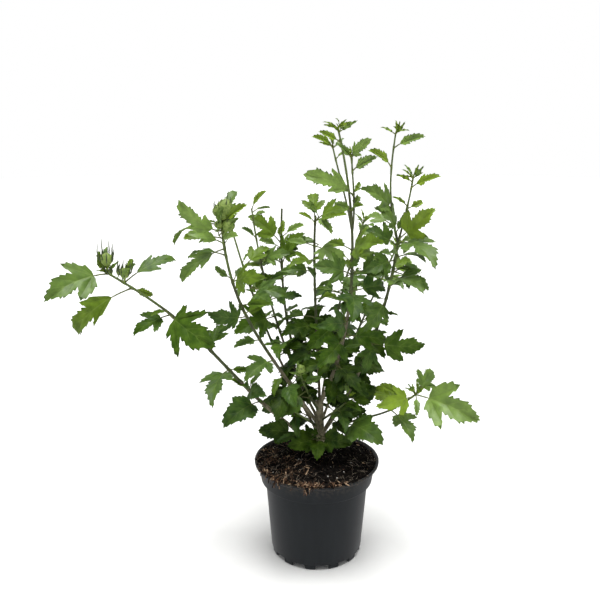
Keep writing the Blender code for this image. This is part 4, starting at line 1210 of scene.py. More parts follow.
def ruled_leaves(name, dice):
    """The leaves that the rule gives a stem: one at each joint, some with a small one beside it."""
    stem = STEMS[name]
    count = int(stem.length * (stem.ruled - stem.bare) / INTERNODE)
    heading = dice.uniform(0, 360)
    for joint in range(max(0, count)):
        share = stem.bare + FIRST_JOINT + (stem.ruled - stem.bare) * (joint + 0.5) / count
        heading += TURN + dice.uniform(-TURN_SPREAD, TURN_SPREAD)
        size = LEAF_LENGTH * (1.0 - TIP_SHRINKAGE * share**3) * dice.uniform(*LEAF_SIZES)
        rise = FOOT_RISE + (TIP_RISE - FOOT_RISE) * share + dice.uniform(-RISE_SPREAD, RISE_SPREAD)
        yield Leaf(share, heading, rise, size, dice.uniform(-ROLL_SPREAD, ROLL_SPREAD))
        if dice.random() < AXILLARY_CHANCE:
            beside = heading + dice.choice((-1, 1)) * dice.uniform(*AXILLARY_TURNS)
            small = size * dice.uniform(*AXILLARY_SIZES)
            roll = dice.uniform(-AXILLARY_ROLL, AXILLARY_ROLL)
            yield Leaf(share + AXILLARY_STEP, beside, rise + AXILLARY_RISE, small, roll)


def turned_out(foot, leaf):
    """The leaf, turned about if it would grow in across the open foot of the shrub."""
    outward = math.degrees(math.atan2(foot.y - TRUNK_FOOT.y, foot.x - TRUNK_FOOT.x))
    off = (leaf.heading - outward + 180.0) % 360.0 - 180.0
    grows_in = foot.z < TRUNK_FOOT.z + OPEN and abs(off) > INWARD
    return leaf._replace(heading=leaf.heading + 180.0) if grows_in else leaf


def tuft_leaves(dice):
    """The whorl of narrow young leaves at a growing tip."""
    start = dice.uniform(0, 360)
    for index in range(TUFT_COUNT):
        length = TUFT_LENGTH * dice.uniform(*TUFT_SIZES)
        rise = dice.uniform(*TUFT_RISES)
        yield Leaf(TUFT_SHARE, start + index * TURN, rise, length, dice.uniform(-TUFT_ROLL, TUFT_ROLL))


def ball_round(points):
    """The middle and the radius of a ball that holds the points."""
    middle = sum(points, Vector()) / len(points)
    return middle, max((point - middle).length for point in points)


class Space:
    """The solids placed so far, which a new leaf has to clear."""

    def __init__(self):
        self.trees = []

    def add(self, shape, mass, stem=None):
        """Keeps a solid, with the mass and the stem that it belongs to."""
        self.trees.append((BVHTree.FromPolygons(*shape), *ball_round(shape[0]), mass, stem))

    def clear(self, whole, beyond_stalk, mass, stem):
        """Whether a leaf clears the other masses, and its blade and outer stalk those of its own."""
        middle, reach = ball_round(whole[0])
        whole_tree = BVHTree.FromPolygons(*whole)
        own_tree = BVHTree.FromPolygons(*beyond_stalk)
        for other, other_middle, other_reach, other_mass, other_stem in self.trees:
            if other_stem == stem or (other_middle - middle).length > reach + other_reach:
                continue
            tree = own_tree if other_mass == mass else whole_tree
            if tree.overlap(other):
                return False
        return True


def mass_of(name):
    """The mass that a stem belongs to: its own, or its parent's."""
    return STEMS[name].parent or name


def nudged(leaf, turn, lift, size):
    """The leaf, turned, lifted and resized a little."""
    return Leaf(leaf.share, leaf.heading + turn, leaf.rise + lift, leaf.length * size, leaf.roll)


def settle(space, name, leaf, form):
    """Places a leaf where it clears all else, turning it a little if need be, or returns None."""
    foot = along_stem(name, leaf.share)
    for size, nudge in itertools.product(NUDGED_SIZES, NUDGES):
        tried = nudged(leaf, *nudge, size)
        whole = leaf_solid(foot, tried, form, CLEARANCE)
        beyond_stalk = leaf_solid(foot, tried, form, CLEARANCE, HIDDEN_STALK)
        if space.clear(whole, beyond_stalk, mass_of(name), name):
            return tried
    return None


def dressed(space):
    """The settled leaves of every stem, as (leaf, form): marked ones first, then tufts, then the rule's."""
    leaves = {name: [] for name in STEMS}

    def add(name, leaf, form):
        """Keeps a leaf, if there is a clear place for it."""
        settled = settle(space, name, leaf, form)
        if settled is not None:
            leaves[name].append((settled, form))
            space.add(leaf_solid(along_stem(name, settled.share), settled, form, 0.0), mass_of(name))

    for name, marked in MARKED.items():
        for index, leaf in enumerate(marked_leaf(*row) for row in marked):
            add(name, leaf, leaf_form(along_stem(name, leaf.share), leaf, index))
    for order, name in enumerate(STEMS):
        dice = random.Random(SEED + order)
        if name in TUFTED:
            for leaf in tuft_leaves(dice):
                add(name, leaf, "young")
    for order, name in enumerate(STEMS):
        dice = random.Random(100 * SEED + order)
        for index, leaf in enumerate(ruled_leaves(name, dice)):
            foot = along_stem(name, leaf.share)
            add(name, turned_out(foot, leaf), leaf_form(foot, leaf, index))
    return leaves


space = Space()
for node in ("pot", "soil"):
    solid = frame["nodes"][node].data
    corners = [vert.co.copy() for vert in solid.vertices]
    space.add((corners, [tuple(face.vertices) for face in solid.polygons]), "ground")
space.add(trunk_shape(TRUNK_RINGS, TRUNK_SIDES), "trunk")
for name, stem in STEMS.items():
    if stem.bare:
        space.add(stem_piece(name, 0.0, stem.bare, BOUGH_RINGS, BOUGH_SIDES), "bough")
for name, stem in STEMS.items():
    first = stem.bare + (GAP + FACET_ALLOWANCE) / stem.length if stem.bare else 0.0
    rings = max(FEWEST_SHOOT_RINGS, int(stem.length * (1 - first) / SHOOT_RING_SPACING) + 2)
    space.add(stem_piece(name, first, 1.0, rings, SHOOT_SIDES), mass_of(name), name)
leaves = dressed(space)
for name, *row in INNER:
    wanted = marked_leaf(*row)
    foot = along_stem(name, wanted.share)
    for size, nudge in itertools.product(INNER_SIZES, NUDGES):
        leaf = nudged(wanted, *nudge, size)
        blade = leaf_solid(foot, leaf, "long", CLEARANCE, SPUR_SHARE * leaf.length)
        if space.clear(blade, blade, mass_of(name), name):
            leaves[name].append((leaf, "long"))
            space.add(leaf_solid(foot, leaf, "long", 0.0, SPUR_SHARE * leaf.length), mass_of(name))
            break

# A side shoot: the stem it springs from, its foot and tip, and its small leaves.
SideShoot = namedtuple("SideShoot", "stem foot tip leaves")
SIDE_SHOOT_CHANCE = 0.75  # beside each leaf that is not young
SIDE_SHOOT_LENGTHS = (0.003, 0.009)
SIDE_SHOOT_TURNS = (10, 55)
SIDE_SHOOT_RISES = (20, 50)
SIDE_LEAF_COUNTS = (1, 2, 2, 3)
SIDE_LEAF_TURNS = (80, 150)
SIDE_LEAF_RISES = (5, 40)
SIDE_LEAF_LENGTHS = (0.018, 0.036)
BOX_MARGIN = 0.002  # that a side leaf may pass the solids' box by
side_shoots = []


def in_box(points):
    """Whether points lie in the box of the solids, or hardly beyond it."""
    return all(
        low - BOX_MARGIN < value < high + BOX_MARGIN
        for point in points for low, value, high in zip(cad_box[0], point, cad_box[1])
    )


for order, name in enumerate(STEMS):
    dice = random.Random(1000 * SEED + order)
    for leaf, form in leaves[name]:
        if leaf.length < YOUNG or dice.random() > SIDE_SHOOT_CHANCE:
            continue
        foot = along_stem(name, leaf.share)
        heading = leaf.heading + dice.choice((-1, 1)) * dice.uniform(*SIDE_SHOOT_TURNS)
        way = heading_vector(heading, leaf.rise + dice.uniform(*SIDE_SHOOT_RISES))
        tip = foot + way * dice.uniform(*SIDE_SHOOT_LENGTHS)
        small_leaves = []
        for _ in range(dice.choice(SIDE_LEAF_COUNTS)):
            heading += dice.uniform(*SIDE_LEAF_TURNS)
            small = Leaf(leaf.share, heading, leaf.rise + dice.uniform(*SIDE_LEAF_RISES),
                         dice.uniform(*SIDE_LEAF_LENGTHS), dice.uniform(-ROLL_SPREAD, ROLL_SPREAD))
            solid = leaf_solid(tip, small, "young", CLEARANCE)
            beyond_stalk = leaf_solid(tip, small, "young", CLEARANCE, 0.5 * HIDDEN_STALK)
            if in_box(solid[0]) and space.clear(solid, beyond_stalk, mass_of(name), name):
                small_leaves.append(small)
                space.add(leaf_solid(tip, small, "young", 0.0), mass_of(name))
        if small_leaves:
            side_shoots.append(SideShoot(name, foot, tip, small_leaves))


# --------------------------------------
# The shoots: slender stems that run on from the boughs, woody grey-green below, olive above and
# fresh green at their tips. They swell a little where each leaf stalk joins, and two of them
# end in a flat pruning cut.
SHOOT_STEP = 0.0035
SHOOT_ROUND = 9
KNOT = 0.00045  # swelling at a joint
KNOT_LENGTH = 0.0022
LAST_KNOT = 0.97  # share of a stem beyond which it doesn't swell
TWIG_RADIUS = 0.0007
TWIG_SAG = Vector((0.0, 0.0, -0.0008))
UPPER = 0.6  # a twig is as young at its foot as a long stem is at this share of it
CUT_STEMS = ("cut_back", "cut_middle")
STEM_TONES = (
    ("woody_shoot", (0.170, 0.150, 0.095), (0.085, 0.073, 0.043)),
    ("olive_shoot", (0.095, 0.115, 0.042), (0.046, 0.057, 0.021)),
    ("green_shoot", (0.145, 0.200, 0.055), (0.078, 0.112, 0.030)),
)
STEM_STEPS = (0.40, 0.78)  # shares of a stem where it turns olive, then green


def stem_finish(name, light, dark):
    """A fine streaky bark for a young stem."""
    skin = Finish(name)
    streak = skin.noise(420, 3, (1.0, 1.0, 0.3))
    return skin.surface(
        Base_Color=skin.ramp(streak, (0.35, dark), (0.65, light)), Roughness=0.6, Specular_IOR_Level=0.35,
        Normal=skin.bump(streak, 0.0003, 0.6),
    )


stem_finishes = [stem_finish(*tone) for tone in STEM_TONES]
cut_wood = Finish("cut_wood")
cut_tone = cut_wood.ramp(cut_wood.noise(900, 2), (0.3, (0.035, 0.026, 0.016)), (0.7, (0.10, 0.075, 0.045)))
stem_finishes.append(cut_wood.surface(Base_Color=cut_tone, Roughness=0.9))
CUT = len(stem_finishes) - 1
shoot_heap = Heap()


def add_limb(path, radii, sides, tones, end=None):
    """Adds a closed round limb to the shoots, with a tone for each of its stretches and its end."""
    last = tones[-1] if end is None else end
    around = [tone for tone in tones for _ in range(sides)]
    shoot_heap.add(*tube(path, radii, sides), tones[0], *around, last)


for name, stem in STEMS.items():
    joints = [leaf.share * stem.length for leaf, _ in leaves[name] if leaf.share < LAST_KNOT]
    first = stem.bare * stem.length - OVERLAP if stem.bare else 0.0
    count = max(4, int((stem.length - first) / SHOOT_STEP))
    path, radii, tones = [], [], []
    for station in range(count + 1):
        run = first + (stem.length - first) * station / count
        share = run / stem.length
        swell = sum(math.exp(-((run - joint) / KNOT_LENGTH) ** 2) for joint in joints)
        path.append(along_stem(name, share))
        radii.append(stem_radius(name, share) + KNOT * min(1.2, swell))
        young = share if stem.parent is None and stem.bare else UPPER + (1.0 - UPPER) * share
        tones.append(sum(young >= step for step in STEM_STEPS))
    if name in CUT_STEMS:
        add_limb(path, radii, SHOOT_ROUND, [min(tone, 1) for tone in tones[:-1]], CUT)
    else:
        add_limb(path, radii, SHOOT_ROUND, tones[:-1])
for shoot in side_shoots:
    bow = shoot.foot.lerp(shoot.tip, 0.5) + TWIG_SAG
    add_limb([shoot.foot, bow, shoot.tip], [TWIG_RADIUS * taper for taper in (1.0, 0.85, 0.7)], 6, [1, 2])
masses = ["foliage_" + name for name, stem in STEMS.items() if stem.parent is None]
shoots = shoot_heap.piece("shoots", stem_finishes, 55)
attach(shoots, "root")
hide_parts(*masses)


# --------------------------------------
# The leaves: thin toothed blades on slender stalks, mostly cut into three lobes with a long middle
# one, round and scalloped at the shrub's foot, narrow while young. Each is folded along a midrib
# that arches over, quilted between its veins, and paler below. They darken as they age, and their
# colour also carries painted shade low down on the shrub and painted light at its top.
STALK_ROUND = 5
STALK_TAPER = (1.35, 1.0, 0.9, 0.9, 0.5)
STALK_RADIUS = 0.0010
STALK_OVERLAP = 0.03  # share of the leaf that the stalk runs on under the blade
FULL_STALK = 0.06  # length from which a leaf has a stalk of full thickness
UPPER_FACE, VEIN, LOWER_FACE, STALK_TONE = range(4)
HALF_THICKNESS = 0.00017
BREADTH = 1.10  # of the blades, over their patterns
DROOP = 1.3  # of a blade beyond DROOP_FROM of its length
DROOP_FROM = 0.70
VARIANTS = 4
QUILTING = 0.024  # rise of the blade between its veins, as a share of its length
QUILT_REACH = 0.05
INNER_SPACING = 0.115
# Half margins from the blade's foot to its tip, in stretches: where each ends along and across, in
# thousandths of the length, how far it bulges, its number of teeth and their depth.
MARGINS = {
    "long": (
        (40, 130, 10, 0, 0), (150, 255, 10, 1, 34), (450, 385, 4, 2, 40), (360, 120, -4, 1, 24),
        (600, 185, -4, 2, 40), (760, 105, 4, 2, 46), (1000, 0, -6, 2, 32),
    ),
    "wide": (
        (30, 210, 10, 0, 0), (110, 340, 8, 1, 34), (170, 250, 0, 0, 0), (500, 485, 8, 3, 42),
        (350, 150, 0, 1, 24), (600, 225, -4, 2, 40), (770, 125, 4, 2, 46), (1000, 0, -4, 2, 34),
    ),
    "round": (
        (50, 220, 30, 0, 0), (420, 400, 16, 3, 42), (460, 235, 0, 0, 0), (700, 200, 6, 2, 46),
        (1000, 0, 2, 2, 42),
    ),
    "ovate": (
        (40, 200, 24, 0, 0), (380, 350, 16, 3, 40), (420, 240, 0, 0, 0), (680, 185, 6, 2, 46),
        (1000, 0, -2, 2, 42),
    ),
    "strap": (
        (80, 70, 6, 0, 0), (460, 250, 4, 1, 34), (400, 105, 0, 1, 20), (660, 140, -4, 2, 38),
        (820, 100, 6, 2, 40), (1000, 0, 6, 1, 30),
    ),
    "young": (
        (140, 100, 12, 0, 0), (420, 205, 4, 1, 40), (430, 110, 0, 0, 0), (700, 120, 4, 2, 50),
        (1000, 0, -10, 2, 42),
    ),
    "spear": ((340, 105, 20, 1, 34), (700, 60, 8, 1, 44), (1000, 0, 0, 1, 30)),
}
# Veins, in thousandths of the length: where each leaves the midrib, and where it ends along and across.
VEINS = {
    "long": ((20, 380, 300), (20, 170, 220), (340, 560, 145), (540, 730, 85)),
    "wide": ((20, 420, 400), (20, 120, 270), (340, 570, 165), (540, 740, 95)),
    "round": ((20, 350, 330), (20, 100, 220), (280, 520, 220), (480, 700, 150)),
    "ovate": ((20, 340, 290), (20, 140, 170), (280, 520, 180), (480, 700, 120)),
    "strap": ((40, 420, 200), (360, 600, 100), (560, 760, 70)),
    "young": ((20, 400, 170), (450, 700, 100)),
    "spear": (),
}
MIDRIB_WIDTH = 0.011
MIDRIB_END = 0.93
VEIN_WIDTH = 0.0075
SMALL_RIB_WIDTH = 0.016
FOOT_WIDTH = 0.012
# How much the margins of two leaves differ: the corners along and across, and each tooth's place
# and depth, as least and most.
CORNER_SLIPS = (-0.02, 0.02)
CORNER_SPREADS = (0.88, 1.1)
TOOTH_PLACES = (0.72, 0.92)
TOOTH_DEPTHS = (0.7, 1.2)
INNER_MARGIN = 0.035  # between the rim and the points inside, which also keep off the midrib
OFF_MIDRIB = 0.03
# The faces of two leaves differ too, between these: in fold, hang, wave, waves along the blade,
# twist in radians, and sweep to one side.
FOLDS, HANGS, WAVES, RIPPLES = (0.5, 1.9), (0.1, 0.9), (0.0, 0.10), (1.5, 3.0)
TWISTS, SWEEPS = (-0.28, 0.28), (-0.04, 0.04)


def half_margin(stretches, dice):
    """One side of a blade's outline, from its foot up to its tip, with forward-pointing teeth."""
    here = Vector((0.0, FOOT_WIDTH))
    points = [here]
    for *sizes, teeth, depth in stretches:
        along, across, bulge, depth = (size / 1000 for size in (*sizes, depth))
        slip = dice.uniform(*CORNER_SLIPS)
        end = Vector((along + slip * (across > 0.0), across * dice.uniform(*CORNER_SPREADS)))
        way = end - here
        out = Vector((-way.y, way.x)).normalized()
        steps, span = [], teeth + 0.6
        for tooth in range(teeth):
            at = (tooth + dice.uniform(*TOOTH_PLACES)) / span
            height = depth * dice.uniform(*TOOTH_DEPTHS)
            steps += [(at - 0.3 / span, 0.75 * height), (at, height), (at + 0.14 / span, 0.05 * depth)]
        for share, rise in steps or [(0.5, 0.0)]:
            points.append(here + way * share + out * (4 * bulge * share * (1 - share) + rise))
        points.append(end)
        here = end
    return points


def vein_strip(start, end, first, last):
    """A slender strip from a point on the midrib to near the margin."""
    start, end = Vector(start), Vector(end)
    way = end - start
    out = Vector((-way.y, way.x)).normalized()
    return [start - out * first, end - out * last, end + out * last, start + out * first]


def well_inside(outline, spot):
    """Whether a spot lies well inside an outline."""
    crossings = 0
    for a, b in zip(outline, outline[1:] + outline[:1]):
        if (a.y > spot.y) != (b.y > spot.y) and spot.x < a.x + (spot.y - a.y) * (b.x - a.x) / (b.y - a.y):
            crossings += 1
    return crossings % 2 == 1 and min((spot - point).length for point in outline) > INNER_MARGIN


def quilting(point, lines):
    """How far a point is quilted: nothing on a vein, and most between two."""
    nearest_vein = 1.0
    for start, end in lines:
        start, end = Vector(start), Vector(end)
        share = held((point - start).dot(end - start) / (end - start).length_squared)
        nearest_vein = min(nearest_vein, (point - start.lerp(end, share)).length)
    return 1.0 - math.exp(-((nearest_vein / QUILT_REACH) ** 2))


class Blade:
    """A flat blade pattern: its points, its triangles, which are veins, and how far it is quilted."""

    def __init__(self, form, dice):
        right, left = half_margin(MARGINS[form], dice), half_margin(MARGINS[form], dice)
        outline = [Vector((point.x, -point.y)) for point in right] + list(reversed(left[:-1]))
        lines = [((0.0, 0.0), (MIDRIB_END, 0.0))]
        loops = [outline]
        if form != "spear":
            rib = SMALL_RIB_WIDTH if form == "young" else MIDRIB_WIDTH
            loops.append(vein_strip(*lines[0], rib, 0.35 * rib))
        for row in VEINS[form]:
            foot, along, across = (value / 1000 for value in row)
            for side in (-1, 1):
                lines.append(((foot, 0.0), (along, side * across * dice.uniform(0.9, 1.0))))
                if form != "young":
                    loops.append(vein_strip(*lines[-1], VEIN_WIDTH, 0.3 * VEIN_WIDTH))
        inner = [Vector((0.3, 0.0)), Vector((0.62, 0.0))]
        if form != "spear":
            grid = itertools.product(range(1, int(1.0 / INNER_SPACING)), range(-5, 6))
            spots = [Vector((row, column + 0.5 * (row % 2))) * INNER_SPACING for row, column in grid]
            inner = [spot for spot in spots if abs(spot.y) > OFF_MIDRIB and well_inside(outline, spot)]
        faces, start = [], 0
        for loop in loops:
            faces.append(list(range(start, start + len(loop))))
            start += len(loop)
        corners = [point for loop in loops for point in loop] + inner
        flat, _, triangles, _, _, owners = delaunay_2d_cdt(corners, [], faces, 1, 1e-5)
        self.points = np.array([point[:] for point in flat])
        self.triangles, self.veins, uses = [], [], Counter()
        for triangle, owner in zip(triangles, owners):
            a, b, c = (flat[i] for i in triangle)
            if (b - a).cross(c - a) < 0:
                triangle = triangle[::-1]
            self.triangles.append(tuple(triangle))
            self.veins.append(any(index > 0 for index in owner))
            uses.update(tuple(sorted(edge)) for edge in zip(triangle, triangle[1:] + triangle[:1]))
        rim = {index for edge, count in uses.items() if count == 1 for index in edge}
        self.rim = np.array([index in rim for index in range(len(flat))])
        self.quilt = np.array([quilting(point, lines) for point in flat])


blade_dice = random.Random(SEED)
blades = {form: [Blade(form, blade_dice) for _ in range(VARIANTS)] for form in MARGINS}


def add_leaf(heap, foot, leaf, form, dice):
    """Adds a leaf with its stalk, its face a little different from the next one's."""
    place = leaf_arc(foot, leaf)
    first = stalk_share(leaf)
    length = leaf.length * (1.0 - first)
    blade = blades[form][dice.randrange(VARIANTS)]
    mirror = dice.choice((-1, 1))
    fold, hang, wave, ripples = (dice.uniform(*limits) for limits in (FOLDS, HANGS, WAVES, RIPPLES))
    phase = dice.uniform(0, 2 * math.pi)
    twist, sweep = dice.uniform(*TWISTS), dice.uniform(*SWEEPS)
    u, w = blade.points[:, 0], blade.points[:, 1] * mirror * BREADTH
    side = w * length
    out = FOLD * fold * np.abs(side) - hang * side**2 / length + QUILTING * length * blade.quilt
    out -= DROOP * length * np.maximum(0.0, u - DROOP_FROM) ** 2
    out += wave * np.abs(side) * np.sin(2 * math.pi * ripples * u + phase + np.sign(w))
    turn = twist * u
    turned_side = side * np.cos(turn) - out * np.sin(turn) + sweep * length * u**2
    turned_out = side * np.sin(turn) + out * np.cos(turn)
    share = first + (1.0 - first) * u
    lower = ~blade.rim
    thick = np.where(blade.rim, 0.0, HALF_THICKNESS)
    points = [*place(share, turned_side, turned_out + thick)]
    points += [*place(share[lower], turned_side[lower], (turned_out - thick)[lower])]
    under = np.arange(len(u))
    under[lower] = len(u) + np.arange(lower.sum())
    faces, tones = [], []
    for triangle, vein in zip(blade.triangles, blade.veins):
        a, b, c = triangle if mirror > 0 else triangle[::-1]
        faces += [(a, b, c), (under[c], under[b], under[a])]
        tones += [VEIN, VEIN] if vein else [UPPER_FACE, LOWER_FACE]
    heap.add(points, faces, *tones)
    level = [0.0] * len(STALK_TAPER)
    path = place(np.linspace(0.0, first + STALK_OVERLAP, len(level)), level, level)
    slim = STALK_RADIUS * (0.65 + 0.35 * min(1.0, leaf.length / FULL_STALK))
    path = [Vector(point) for point in path]
    heap.add(*tube(path, [slim * taper for taper in STALK_TAPER], STALK_ROUND), STALK_TONE)


def mixed(first, second, share):
    """A colour part of the way from one to another."""
    return tuple(a + (b - a) * share for a, b in zip(first, second))


def leaf_finishes(name, colour, gloss):
    """The finishes of one age of leaf: its upper face, veins, lower face and stalk."""
    made = []
    looks = (
        ("", colour, 0.42, gloss),
        ("_vein", mixed(colour, (0.26, 0.36, 0.09), 0.10 + 0.7 * gloss), 0.50, gloss),
        ("_under", mixed(colour, (0.17, 0.25, 0.10), 0.35), 0.70, 0.5 * gloss),
        ("_stalk", mixed(colour, (0.13, 0.11, 0.05), 0.6), 0.55, 0.3),
    )
    for suffix, tone, roughness, shine in looks:
        skin = Finish(name + suffix)
        blotch = skin.noise(90, 5)
        pores = skin.noise(700, 2)
        light, dark = mixed(tone, (0.42, 0.58, 0.07), 0.09), tuple(0.70 * value for value in tone)
        made.append(skin.surface(
            Base_Color=skin.ramp(blotch, (0.33, dark), (0.67, light)),
            Roughness=skin.spread(pores, roughness - 0.08, roughness + 0.08),
            Specular_IOR_Level=shine, Normal=skin.bump(blotch + pores * 0.3, 0.0007, 0.7),
        ))
    return made


# The colour and the shine of each age, and by how much each cast multiplies red, green, blue and shine.
# The darker ages also carry painted shade, since leaves low down are pushed into them; "shaded" is the
# darkest.
AGES = {
    "young": ((0.200, 0.300, 0.045), 0.40), "fresh": ((0.118, 0.196, 0.026), 0.34),
    "grown": ((0.078, 0.148, 0.017), 0.28), "dark": ((0.041, 0.097, 0.0115), 0.20),
    "shaded": ((0.015, 0.043, 0.004), 0.10),
}
CASTS = {"cool": (0.88, 0.97, 1.16, 0.95), "warm": (1.02, 1.06, 0.50, 0.6)}
AGE_LIMITS = (0.12, 0.36, 0.62, 0.84)
# How old a stem's leaves look at its tip, and how much older they look towards its foot.
STEM_AGES = {
    "arch": (0.48, 0.3), "left": (0.26, 0.8), "low_right": (-0.04, 0.3), "right_tall": (0.2, 0.4),
    "right_short": (0.2, 0.3), "leader_twig_left": (0.2, 0.3), "leader_twig_front": (0.2, 0.4),
    "right": (0.50, 0.6), "sprig_front": (0.95, 0.0), "sprig_corner": (0.8, 0.0),
    "sprig_low_left": (0.72, 0.0), "sprig_low_right": (0.55, 0.0), "sprig_back": (0.75, 0.0),
    "sprig_back_right": (0.55, 0.0), "sprig_bud": (0.50, 0.3),
}
COOL_CHANCES = {"right": 0.85, "arch": 0.6, "left": 0.6, "low_right": 0.2}
USUAL_COOL = 0.52
LOW_COOL = 0.4  # more at the soil, down from LOW_BAND above it
LOW_BAND = 0.15
USUAL_AGE = (0.22, 0.86)
AGE_SPREAD = 0.22
AT_TIP = 0.97  # share of a stem from which its smallest leaves are always young
LOW_SHADE_AND_AGE = 0.42  # how much darker leaves are made at the soil: painted shade, along with their greater age
HIGH_LIGHT_AND_YOUTH = 0.34  # how much lighter leaves are made at the top, between these heights: painted light, along with their youth
HIGH, HIGHEST = 0.33, 0.50
NARROW_YOUTH = 0.15  # how much younger the narrow ones look
OVATE_BELOW = 0.12  # above the soil
OVATE_CHANCE = 0.65
# The chance that a lobed leaf near a stem's tip is slender, from this share of the stem.
STRAP_CHANCES = {"left": 1.0, "arch": 0.2, "right": 0.0, "low_right": 0.0, "leader_twig_front": 1.0}
USUAL_STRAP = 0.35
STRAP_FROM = {"leader_twig_front": 0.0}
USUAL_STRAP_FROM = 0.85
CROWDED = 6  # narrow unfolding leaves in the heart of every tuft
CROWDED_LENGTHS = (0.010, 0.022)
CROWDED_RISES = (5, 75)
SPEAR_BELOW = 0.024  # length of a side shoot's leaf
LOOK_SEED = 77
leaf_heaps = {(age, cast): Heap() for age in AGES for cast in CASTS}
leaf_dice = random.Random(LOOK_SEED)


def look_of(name, foot, leaf, form):
    """A leaf's age and cast: old at the foot of its stem, young at the tips, with painted shade low down and
    painted light high up.
    """
    low = max(0.0, 1.0 - (foot.z - TRUNK_FOOT.z) / LOW_BAND)
    cool_chance = COOL_CHANCES.get(name, USUAL_COOL) + LOW_COOL * low
    cast = "cool" if leaf_dice.random() < cool_chance else "warm"
    if leaf.length < TINY and leaf.share > AT_TIP:
        return "young", cast
    at_tip, towards_foot = STEM_AGES.get(name, USUAL_AGE)
    share = leaf.share if STEMS[name].parent is None else UPPER + (1.0 - UPPER) * leaf.share
    age_and_shade = at_tip + towards_foot * (1.0 - share) + leaf_dice.uniform(-AGE_SPREAD, AGE_SPREAD)
    # Painted shade near the soil and painted light near the top push leaves into darker or lighter ages.
    age_and_shade += LOW_SHADE_AND_AGE * low - HIGH_LIGHT_AND_YOUTH * held((foot.z - HIGH) / (HIGHEST - HIGH))
    age_and_shade -= NARROW_YOUTH * (form == "young")
    return list(AGES)[sum(age_and_shade > limit for limit in AGE_LIMITS)], cast


def pattern_of(name, foot, leaf, form):
    """The blade pattern of a leaf: spears at the tips, hardly lobed low down, slender at the top."""
    if form == "young" and leaf.length < TINY:
        return "spear"
    if form not in ("long", "wide"):
        return form
    if foot.z < TRUNK_FOOT.z + OVATE_BELOW and leaf_dice.random() < OVATE_CHANCE:
        return "ovate"
    near_tip = leaf.share > STRAP_FROM.get(name, USUAL_STRAP_FROM)
    return "strap" if leaf_dice.random() < STRAP_CHANCES.get(name, USUAL_STRAP) * near_tip else form


def dress(name, foot, leaf, form, pattern):
    """Adds a leaf to the heap of its age and cast."""
    add_leaf(leaf_heaps[look_of(name, foot, leaf, form)], foot, leaf, pattern, leaf_dice)


for name in STEMS:
    for leaf, form in leaves[name]:
        foot = along_stem(name, leaf.share)
        dress(name, foot, leaf, form, pattern_of(name, foot, leaf, form))
for name in TUFTED:
    tip = along_stem(name, 1.0)
    for _ in range(CROWDED):
        turns = (leaf_dice.uniform(*limits) for limits in ((0, 360), CROWDED_RISES, CROWDED_LENGTHS))
        leaf = Leaf(1.0, *turns, leaf_dice.uniform(-TUFT_ROLL, TUFT_ROLL))
        add_leaf(leaf_heaps["young", "warm"], tip, leaf, "spear", leaf_dice)
for shoot in side_shoots:
    for leaf in shoot.leaves:
        dress(shoot.stem, shoot.tip, leaf, "young", "young" if leaf.length > SPEAR_BELOW else "spear")
for (age, cast), heap in leaf_heaps.items():
    *tint, sheen = CASTS[cast]
    colour = tuple(value * share for value, share in zip(AGES[age][0], tint))
    finishes = leaf_finishes("_".join((cast, age, "leaf")), colour, sheen * AGES[age][1])
    piece = heap.piece("_".join(("leaves", cast, age)), finishes, 70)
    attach(piece, "root")
    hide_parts(*masses)


# --------------------------------------
# The flower buds: at the tips of three stems, each a ribbed yellow-green calyx on a short stalk,
# with a ring of thin dark bracts below it. They are still shut, and younger buds crowd the
# tallest cluster.
# The stem and the share of it that each bud springs from, its heading, rise and length. The first
# five are the oldest.
BUDS = (
    ("arch", 0.925, -65, 66, 0.022), ("arch", 0.985, -75, 80, 0.026), ("left", 0.99, -25, 76, 0.034),
    ("left", 0.95, -40, 52, 0.026), ("sprig_bud", 0.97, -90, 60, 0.020),
    ("left", 0.985, -80, 74, 0.024), ("left", 0.975, 40, 66, 0.022), ("left", 0.965, -120, 56, 0.018),
    ("left", 0.992, -150, 80, 0.026), ("left", 0.96, 0, 60, 0.020), ("arch", 0.95, 60, 60, 0.013),
    ("arch", 0.965, -120, 55, 0.012), ("sprig_bud", 0.93, 170, 50, 0.011),
)
# From the stalk's foot to the bud's tip: along, and the radius, as shares of the length.
BUD_LINE = (
    (0.0, 0.05), (0.34, 0.05), (0.42, 0.15), (0.52, 0.25), (0.66, 0.30), (0.80, 0.26), (0.92, 0.15),
    (1.0, 0.03),
)
BUD_ROUND = 20
BUD_RIBS = 5
RIB_HEIGHT = 0.10
RIB_TWIST = 2.2
RIBS_FROM = 0.4
# The bracts of each stem's buds: their length as a share of the bud's, and how far they stand off.
BRACTS = {"arch": (1.0, 0.30), "left": (0.66, 0.20), "sprig_bud": (0.5, 0.24)}
BRACTS_AT = 0.38
BRACT_COUNT = 9
BRACT_BOW = ((0.85, 0.30), (1.12, 0.68), (1.0, 1.05))  # out and up, from its root to its tip
BRACT_RADII = (0.0007, 0.0009, 0.0007, 0.0003)
BRACT_SIDES = 5
BUD_SEED = 4
bud_heap = Heap()


